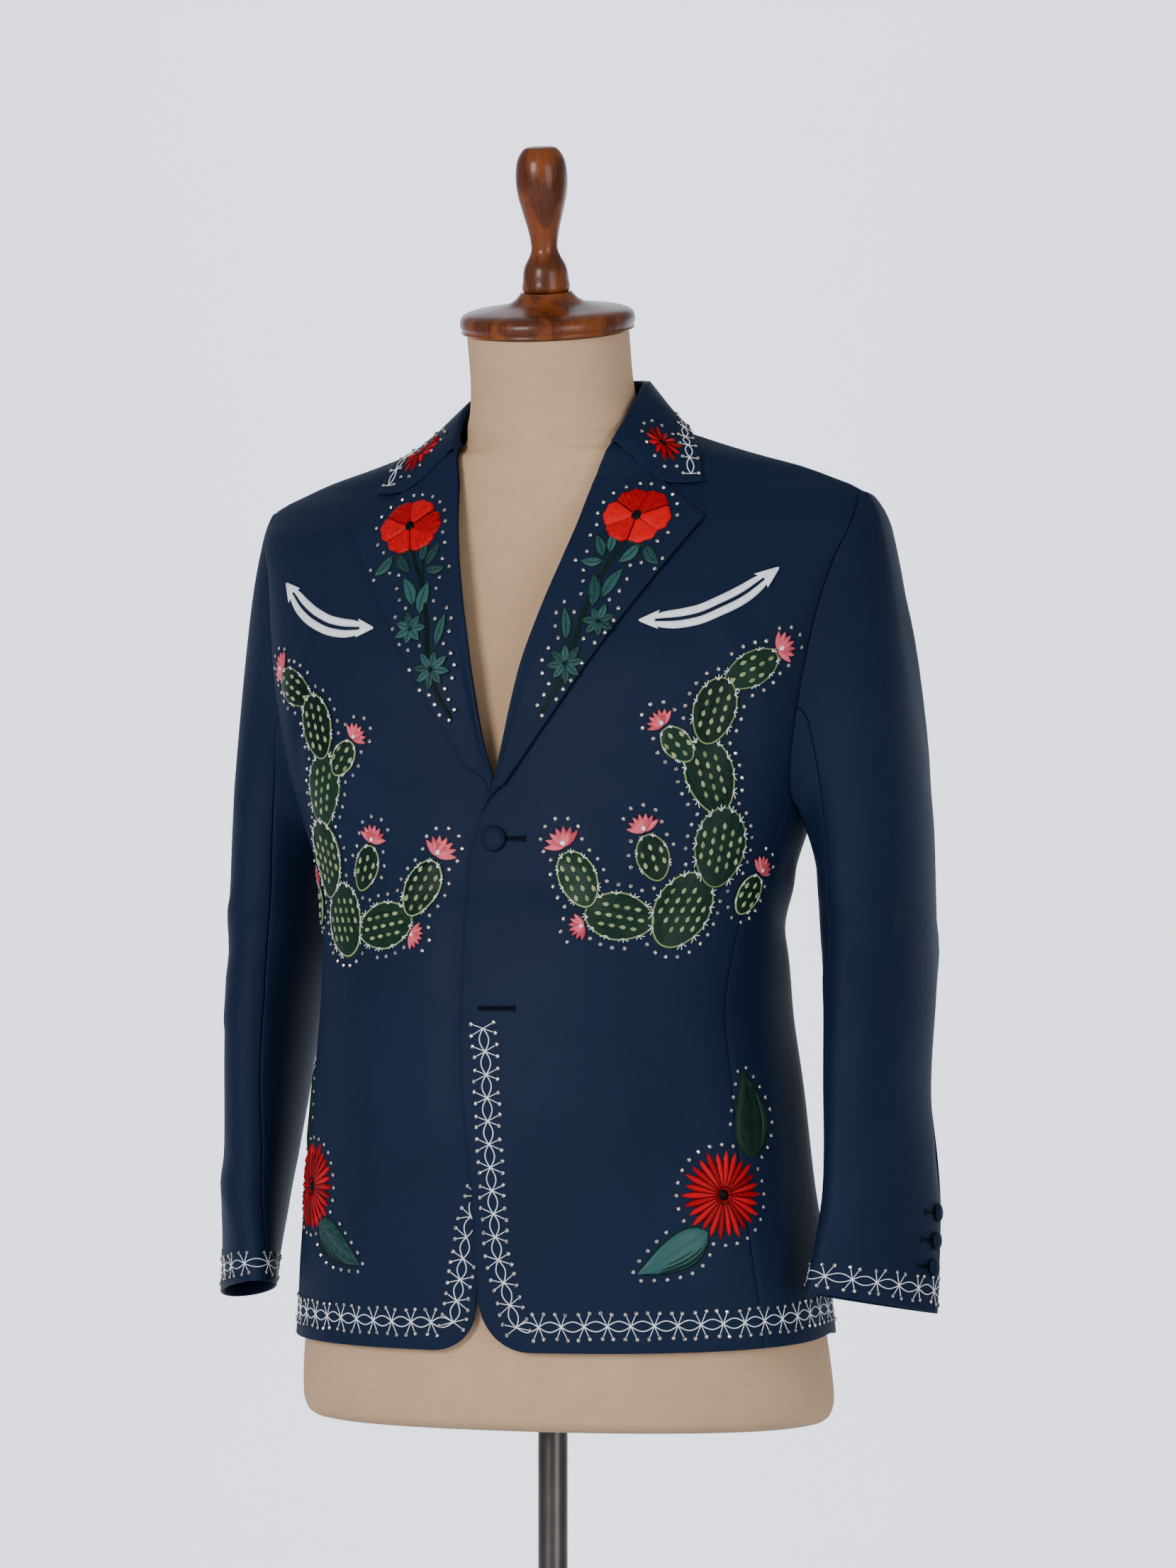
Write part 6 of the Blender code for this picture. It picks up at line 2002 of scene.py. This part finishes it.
def pad(ground, s, z, half_long, half_wide, lean):
    """One cactus pad: a domed satin oval, narrower at its foot, with a sage rim and sage marks."""
    turn = np.linspace(0, 2 * math.pi, PAD_STEPS, endpoint=False)
    narrow = 1 - 0.16 * np.clip(-np.cos(turn), 0, 1)

    def spots(r, angle, slim=1.0):
        return turned(s, z, half_long * r * np.cos(angle), half_wide * slim * r * np.sin(angle), lean)

    r = PAD_RINGS[:, None]
    grid = spots(r, turn, narrow)
    lift = 0.0004 + 0.0012 * (1 - r**4)
    lift[-1] = EDGE_SINKS
    u, v = 0.5 + 0.46 * r * np.sin(turn), 1.5 * r * np.cos(turn)
    ground.sew("dark_green", grid[..., 0], grid[..., 1], lift, u, v, closed=True)
    rim = spots(0.93, np.append(turn, turn[:2]), np.append(narrow, narrow[:2]))
    ground.lifted(0.0005).cord("sage", rim, PAD_RIM)
    # Lens-shaped sage marks in slanting rows, and white spines in threes near the rim.
    way = heading(lean) * MARK_HALF
    for i in range(-3, 4):
        for j in range(-2, 3):
            x, y = i * MARK_STEP[0] + (j % 2) * MARK_STEP[0] / 2, j * MARK_STEP[1]
            if (x / half_long) ** 2 + (y / half_wide) ** 2 > 0.50:
                continue
            at = turned(s, z, x, y, lean)
            mark = ground.lifted(0.0015)
            mark.leaf("sage", at - way, at + way, MARK_WIDTH, rise=0.0004, vein=False)
    spines = max(7, round((half_long + half_wide) / 0.0040))
    for k in range(spines):
        angle = 2 * math.pi * (k + 0.5) / spines
        if math.cos(angle) < -0.8:
            continue
        root = spots(0.86, np.array([angle]))[0]
        for fan in SPINE_FAN:
            tip = spots(1.02, np.array([angle + fan * 0.5]))[0]
            line = np.linspace(root, root + (tip - root) * (1.0 if fan == 0 else 0.8), 3)
            ground.lifted(0.0010).cord("white", line, SPINE)


# A blossom's rows of petals: how many, how far they spread in radians, and their reach.
PETAL_ROWS = ((7, 2.3, 1.0), (5, 1.5, 0.72))


def blossom(ground, s, z, radius, lean):
    """A pink cactus flower seen from its side: a fan of petals on a white middle."""
    ground = ground.lifted(0.0010)
    foot = np.array((s, z)) - 0.25 * radius * heading(lean)
    for row, (count, spread, reach) in enumerate(PETAL_ROWS):
        for k in range(count):
            angle = lean + spread * (k / (count - 1) - 0.5)
            tip = foot + heading(angle) * radius * reach * 1.3
            petal = ground.lifted(0.0004 * row)
            petal.leaf("pink", foot, tip, radius * 0.42, rise=0.0009, point=0.7, vein=False)
    ground.lifted(0.0010).spot("white", (s, z), radius * 0.22, 0.0008)


def cactus_spray(work, side):
    ground = Ground(work, body_surface(side), side == "right")
    shift = shift_of(side, CACTUS_SHIFT)
    ovals = []
    for level, (s, z, half_long, half_wide, lean_deg) in enumerate(PADS):
        s, z, lean = s + shift[0], z + shift[1], math.radians(lean_deg)
        pad(ground.lifted(PAD_LEVEL * ((level * 3) % 5)), s, z, half_long, half_wide, lean)
        ovals.append((s, z, half_long + PAD_CLEAR, half_wide + PAD_CLEAR, lean))
    for s, z, radius, lean_deg in BLOSSOMS:
        s, z, lean = s + shift[0], z + shift[1], math.radians(lean_deg)
        blossom(ground, s, z, radius, lean)
        s, z = s + 0.3 * radius * math.cos(lean), z + 0.3 * radius * math.sin(lean)
        ovals.append((s, z, radius + 0.004, radius + 0.004, 0.0))
    outline_stones(ground, ovals, BODY_STONES)


FRONT_CHAIN = {
    "left": (
        (-0.0010, 1.0000), (0.0015, 0.9740), (0.0035, 0.9210), (0.0055, 0.8680),
        (0.0085, 0.8255), (0.0210, 0.7765),
    ),
    "right": (
        (0.0000, 0.9060), (0.0035, 0.8880), (0.0115, 0.8660), (0.0185, 0.8420),
        (0.0240, 0.8145), (0.0315, 0.7790),
    ),
}
HEM_CHAIN_UP = 0.0205
HEM_CHAIN_FROM = 0.35  # the turn at which the chain runs level with the hem
CUFF_CHAIN_UP = 0.0165


def hem_chains(work, side):
    ground = Ground(work, body_surface(side), side == "right")

    def clear_of_left(places):
        """The left front hides what lies under it."""
        return places[:, 0] > 0.0015 - edge_x("left", places[:, 1])
    shown = clear_of_left if side == "right" else None
    chain(ground, FRONT_CHAIN[side], 0.0167, shown=shown)
    start, low = FRONT_CHAIN[side][-1]
    first = turn_at(np.array([start]), np.array([low]))
    turn = np.concatenate([first, np.linspace(HEM_CHAIN_FROM, math.pi, 13)])
    z = hem_height(turn) + HEM_CHAIN_UP
    z[0] = low
    s = round_from_front(turn, z)
    chain(ground, list(zip(s, z)), 0.0175, skip_first=True, skip_last=side == "right")


def cuff_chain(work, side):
    ground = Ground(work, cuff_surface(), side == "right")
    run = sleeve_length(np.array([-math.pi / 2, 3 * math.pi / 2]), SLEEVE_END)
    path = [(s, CUFF_CHAIN_UP) for s in np.linspace(run[0], run[1], 40)]
    chain(ground, path, 0.0215, skip_last=True)


def buttonhole(ground, middle, half_length):
    """A worked buttonhole: a black strip of painted shade in the slit between two rows of close
    stitches, with a bar at one end.
    """
    way, beside = np.array((1.0, 0.0)), np.array((0.0, 1.0))
    ends = np.array(middle) + np.array((-1.0, 1.0))[:, None] * way * half_length
    line = np.linspace(ends[0], ends[1], 10)
    # The black strip in the slit is painted shade for the opening of the cut.
    ground.cord("black", line, SLIT_SHADE_STRIP)
    for off in (-0.00125, 0.00125):
        ground.cord("navy_thread", line + beside * off, STITCHES)
    bar = np.linspace(ends[1] - beside * 0.0026, ends[1] + beside * 0.0026, 5)
    ground.lifted(0.0002).cord("navy_thread", bar, BAR)


# The front's buttonholes: middle and half length. The upper one is the closed button's.
BUTTONHOLES = ((0.0115, BUTTON_Z, 0.0130), (0.0095, 1.0150, 0.0145))
CUFF_HOLE_SPREAD = 0.022  # distance over which the cuff's buttonholes turn by 22 degrees


def sleeve_row(height):
    """The sleeve's row whose middle is at this height."""
    mid_z = column(SLEEVE_ROWS, SLEEVE_COLUMNS, "mid_z")
    return np.interp(-height, -mid_z, np.arange(1, len(mid_z) + 1))


def buttonholes(work):
    for s, z, half_length in BUTTONHOLES:
        buttonhole(Ground(work, body_surface("left"), False), (s, z), half_length)
    for side in ("left", "right"):
        for height, _ in CUFF_BUTTON_ROWS:
            row = sleeve_row(height)
            phi = np.linspace(math.radians(CUFF_BUTTON_DEG), math.radians(CUFF_BUTTON_DEG + 22), 12)

            def along_ring(s, z, phi=phi, row=row):
                angle = np.interp(s, np.linspace(0, CUFF_HOLE_SPREAD, 12), phi)
                return sleeve(angle, row - z / 0.04), sleeve_normal(angle, row - z / 0.04)
            buttonhole(Ground(work, along_ring, side == "right"), (0.0115, 0.0), 0.0095)


def on_front(side, x, z, lift):
    """Places of a front lifted off its creased cloth, and the way that they face."""
    turn = turn_at_x(x, z)
    normals = surface_normal(body, turn, z)
    lift = lift + crease(FRONT_CREASES[side], round_from_front(turn, z), z)
    return body(turn, z) + normals * lift[..., None], normals


def fine_band(where, side):
    """A satin piping on the front's own points, pillowed and slightly puckered."""
    share = np.linspace(0.0, 1.0, 96)
    x, z = pocket_line(share)
    step_x, step_z = np.gradient(x), np.gradient(z)
    length = np.hypot(step_x, step_z)
    normal_x, normal_z = -step_z / length, step_x / length
    middle = (POCKET_SLIT + POCKET_BAND) / 2 * (1 if where == "upper" else -1)
    across = np.linspace(-0.5, 0.5, 11)
    reach = middle + POCKET_BAND * across
    narrow = 1 - 0.45 * np.abs(2 * share - 1) ** 4
    band_x = x[None, :] + reach[:, None] * (normal_x * narrow)[None, :]
    band_z = z[None, :] + reach[:, None] * (normal_z * narrow)[None, :]
    pillow = 0.0007 * (1 - (2 * across) ** 2)[:, None]
    ripple = 0.00018 * np.sin(share * 95 + 6 * np.sin(share * 21))[None, :]
    pucker = ripple * (1 - np.abs(2 * across))[:, None]
    return on_front(side, band_x, band_z, SEAM + POCKET_RAISE + pillow + pucker)


ARROW_FROM = -0.0040
ARROW_TO = 0.0110
ARROW_HOLLOW = 0.0030
ARROW_FINE_WIDTH = 0.0135
ARROW_OVER = 0.0009


def fine_arrow(where, side):
    """The satin-stitched arrowhead over a pocket's end."""
    end = 0.0 if where == "inner" else 1.0
    tip = np.array(pocket_line(np.array(end)))
    inside = np.array(pocket_line(np.array(abs(end - 0.08))))
    ahead = (tip - inside) / np.linalg.norm(tip - inside)
    beside = np.array([ahead[1], -ahead[0]]) * (-1 if where == "inner" else 1)
    along = np.linspace(0, 1, 17)[None, :]
    spread = np.linspace(-0.5, 0.5, 13)[:, None]
    width = ARROW_FINE_WIDTH * (1 - along) ** 0.9 + 0.0010
    # The base is hollow, so its two barbs reach back over the pipings' ends.
    forward = ARROW_FROM + (ARROW_TO - ARROW_FROM) * along
    forward = forward + ARROW_HOLLOW * (1 - np.abs(2 * spread) ** 1.4) * (1 - along) ** 2
    x = tip[0] + ahead[0] * forward + beside[0] * width * spread
    z = tip[1] + ahead[1] * forward + beside[1] * width * spread
    if where == "inner":
        x, z = x[:, ::-1], z[:, ::-1]
    x, z = x[::-1], z[::-1]
    ridge = 0.0006 * (1 - np.abs(2 * spread)) * (1 - 0.5 * np.abs(2 * along - 1))
    return on_front(side, x, z, SEAM + ARROW_OVER + POCKET_RAISE + ridge)


def fine_button(name, at, facing, radius, height, lift):
    profile = button_profile(radius, height)
    place = at + facing * lift
    turned_mesh(name + "_covered", name, profile, "worsted", "navy_worsted", 40, place, facing)


def fine_buttons():
    turn = turn_at_x(np.array(0.0), np.array(BUTTON_Z))
    facing = surface_normal(body, turn, np.array(BUTTON_Z))
    place = body(turn, BUTTON_Z)
    fine_button("front_button", place, facing, BUTTON_RADIUS, BUTTON_HEIGHT, BUTTON_LIFT)
    for side, sign in (("left", 1), ("right", -1)):
        for number, (height, lift) in enumerate(CUFF_BUTTON_ROWS, 1):
            row, phi = sleeve_row(height), np.radians(CUFF_BUTTON_DEG)
            place = sleeve(phi, row) * (sign, 1, 1)
            facing = sleeve_normal(phi, np.array(row)) * (sign, 1, 1)
            name = f"cuff_button_{side}_{number}"
            fine_button(name, place, facing, CUFF_BUTTON_RADIUS, CUFF_BUTTON_HEIGHT, lift)


# The coloured threads have no slot of their own in the record.
THREAD_SLOTS = {"white": "white_satin", "navy_thread": "navy_worsted"}


def embroider():
    work = Work()
    for side in ("left", "right"):
        for sewn in (lapel_spray, collar_work, hip_flower, cactus_spray, hem_chains, cuff_chain):
            sewn(work, side)
    buttonholes(work)
    for material, bundle in work.bundles.items():
        bundle.build("embroidery_" + material, material, THREAD_SLOTS.get(material))
    build_stones(work)


def pockets():
    look = ("satin", POCKET_RAISE, "white_satin")
    for side in ("left", "right"):
        for where in ("upper", "lower"):
            add_shell("pocket_" + where, side, *fine_band(where, side), *look)
        for where in ("inner", "outer"):
            add_shell("pocket_arrow_" + where, side, *fine_arrow(where, side), *look)


FORM_STEPS = 112
NECK_SOFTENED = 8
NECK_FROM_Z = 1.452  # where the neck starts to tip forward


def form_ring(level):
    """One ring of the form's body, with the columns of its table read between the rows."""
    rows = np.array(FORM_ROWS)
    values = [smooth(level, rows[:, 0], rows[:, k]) for k in range(1, rows.shape[1])]
    half_width, side_y, front_y, back_y, front_square, back_square = values
    around = np.linspace(0, 2 * math.pi, FORM_STEPS, endpoint=False)
    s, c = np.sin(around), np.cos(around)
    depth = np.where(c > 0, side_y - front_y, back_y - side_y)
    power = 2 / np.where(c > 0, front_square, back_square)
    x = half_width * np.sign(s) * np.abs(s) ** power
    y = side_y - depth * np.sign(c) * np.abs(c) ** power
    return np.stack([x, y, np.full(FORM_STEPS, level)], -1)


def neck_ring(height, across, deep):
    around = np.linspace(0, 2 * math.pi, FORM_STEPS, endpoint=False)
    toward = head_lean_direction()
    tip = math.radians(HEAD_TILT_DEG) * min(1, (height - NECK_FROM_Z) / (NECK_TOP_Z - NECK_FROM_Z))
    offset = np.stack([across * np.sin(around), -deep * np.cos(around), 0 * around], -1)
    ahead = (offset @ toward)[:, None]
    offset = offset + ahead * (toward * (math.cos(tip) - 1) - np.array([0, 0, math.sin(tip)]))
    return offset + (0, neck_middle(height), height)


def form_cover():
    """The form's cloth cover: one smooth skin from the underside to the neck plate."""
    levels = np.array([row[0] for row in FORM_ROWS])
    body_rings = [form_ring(level) for level in refine(levels, 4)]
    necks = NECK_RINGS + ((NECK_TOP_Z, NECK_RADIUS, NECK_RADIUS),)
    neck_rings = spline(np.array([body_rings[-1], *(neck_ring(*row) for row in necks)]), 21)[1:]
    rings = np.concatenate([np.array(body_rings), neck_rings])
    # The shoulders run into the neck in a soft round.
    joint = slice(len(body_rings) - 5, len(body_rings) + 8)
    for _ in range(NECK_SOFTENED):
        soft = rings.copy()
        soft[1:-1] = (rings[:-2] + 2 * rings[1:-1] + rings[2:]) / 4
        rings[joint] = soft[joint]
    # The underside and the neck's top are closed by rings that draw in to their middles.
    low, high = rings[0].mean(0), rings[-1].mean(0)
    foot = [low + (rings[0] - low) * share for share in (0.02, 0.4, 0.8, 0.97)]
    head = [high + (rings[-1] - high) * share for share in (0.97, 0.5, 0.02)]
    rings = np.concatenate([np.array(foot), rings, np.array(head)])
    points, faces = closed_rings(rings, [foot[0].mean(0), head[-1].mean(0)])
    obj = new_object("dress_form_cover", points, faces, MATERIALS["cover"])
    obj.data.set_sharp_from_angle(angle=math.radians(60))
    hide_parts("dress_form")


def build_stand():
    wood, metal = ("wood", "red_brown_wood"), ("metal", "dark_metal")
    upright = (0, 0, 1)
    tilt = math.radians(HEAD_TILT_DEG)
    up = head_lean_direction() * math.sin(tilt) + (0, 0, math.cos(tilt))
    foot = np.array([0, NECK_TOP_Y, NECK_TOP_Z]) + up * SEAM
    turned_mesh("neck_plate_turned", "neck_plate", PLATE_PROFILE, *wood, 96, foot, up)
    foot = foot + up * (PLATE_PROFILE[0][1] + SEAM)
    turned_mesh("finial_turned", "finial", FINIAL_PROFILE, *wood, 72, foot, up)
    turned_mesh("stand_base_turned", "stand_base", BASE_PROFILE, *metal, 128, np.zeros(3), upright, 1)
    length = FORM_BOTTOM - BASE_PROFILE[0][1] - 2 * SEAM
    profile = ((0, length), (POLE_RADIUS, length), (POLE_RADIUS, length / 2), (POLE_RADIUS, 0), (0, 0))
    foot = np.array([0, 0, BASE_PROFILE[0][1] + SEAM])
    turned_mesh("pole_turned", "pole", profile, *metal, 48, foot, upright, 1)


# The photo's camera: how far off and how high it stands, and how far to the wearer's left.
EYE_DISTANCE = 4.0
EYE_HEIGHT = 1.03
AZIMUTH = math.radians(22.0)
LENS = 119.2
PHOTO_HEIGHT = 2212
SHIFT_PIXELS = (49.5, 1394 - 1106)
AHEAD = np.array([math.sin(AZIMUTH), -math.cos(AZIMUTH), 0])
ASIDE = np.array([math.cos(AZIMUTH), math.sin(AZIMUTH), 0])
AIM = (0, 0, 1.15)
PAPER_AIM = tuple(-AHEAD * 7.5 + (0, 0, 1.0))
# Each light: how far ahead of the form, aside and up, its aim, power, size and colour.
LIGHTS = {
    "key": (3.4, -2.4, 1.9, AIM, 122, (1.4, 1.4), (1.0, 0.985, 0.965)),
    "fill": (3.6, 2.2, 1.2, AIM, 62, (2.0, 2.0), (0.97, 0.985, 1.0)),
    "back": (-2.4, 2.4, 1.6, AIM, 9, (2.0, 1.2), (0.97, 0.985, 1.0)),
    "paper": (-2.8, 0.0, 4.4, PAPER_AIM, 700, (5.0, 1.6), (0.99, 0.99, 1.0)),
}
AIR_COLOUR = (0.80, 0.86, 0.93, 1)
AIR_STRENGTH = 0.46
PAPER_HALF = 16  # half the width of the studio paper
PAPER_CURVE = 3  # the radius of its curve
PAPER_RUN = (-19, 5)  # where it lies flat, from ahead of the form to behind it
PAPER_TOP = 8.0


def lights():
    for name, (ahead, aside, up, aim, energy, size, colour) in LIGHTS.items():
        data = bpy.data.lights.new(name, "AREA")
        data.shape = "RECTANGLE"
        data.size, data.size_y = size
        data.energy = energy
        data.color = colour
        light = bpy.data.objects.new(name, data)
        light.location = tuple(AHEAD * ahead + ASIDE * aside + (0, 0, up))
        light.rotation_mode = "QUATERNION"
        way = Vector(aim) - Vector(light.location)
        light.rotation_quaternion = way.to_track_quat("-Z", "Y")
        bpy.context.scene.collection.objects.link(light)
    world = bpy.data.worlds.new("studio_air")
    world.use_nodes = True
    air = world.node_tree.nodes["Background"]
    air.inputs["Color"].default_value = AIR_COLOUR
    air.inputs["Strength"].default_value = AIR_STRENGTH
    bpy.context.scene.world = world


def studio():
    """A pale floor that curves up far behind the form."""
    bend = np.linspace(0.1, math.pi / 2, 14)
    run = np.concatenate([
        np.linspace(*PAPER_RUN, 13), PAPER_RUN[1] + PAPER_CURVE * np.sin(bend), [PAPER_TOP],
    ])[:, None]
    rise = np.concatenate([np.zeros(13), PAPER_CURVE - PAPER_CURVE * np.cos(bend), [PAPER_TOP]])
    across = np.linspace(-PAPER_HALF, PAPER_HALF, 13)
    x = across * math.cos(AZIMUTH) - run * math.sin(AZIMUTH)
    y = across * math.sin(AZIMUTH) + run * math.cos(AZIMUTH)
    points = np.stack([x, y, rise[:, None] + 0 * x], -1)
    return new_object("floor", points.reshape(-1, 3), grid_faces(*x.shape), MATERIALS["floor"])


def camera():
    data = bpy.data.cameras.new("camera")
    data.lens = LENS
    data.clip_start = 0.1
    data.clip_end = 60
    cam = bpy.data.objects.new("camera", data)
    cam.location = (EYE_DISTANCE * math.sin(AZIMUTH), -EYE_DISTANCE * math.cos(AZIMUTH), EYE_HEIGHT)
    bpy.context.scene.collection.objects.link(cam)
    # Level sight line moved up and aside by the lens shift of the photo's own framing.
    cam.rotation_euler = (math.radians(90), 0, AZIMUTH)
    data.shift_x, data.shift_y = (pixels / PHOTO_HEIGHT for pixels in SHIFT_PIXELS)
    bpy.context.scene.camera = cam


def main():
    sew_jacket()
    pockets()
    fine_buttons()
    embroider()
    form_cover()
    build_stand()
    studio()
    lights()
    camera()


main()
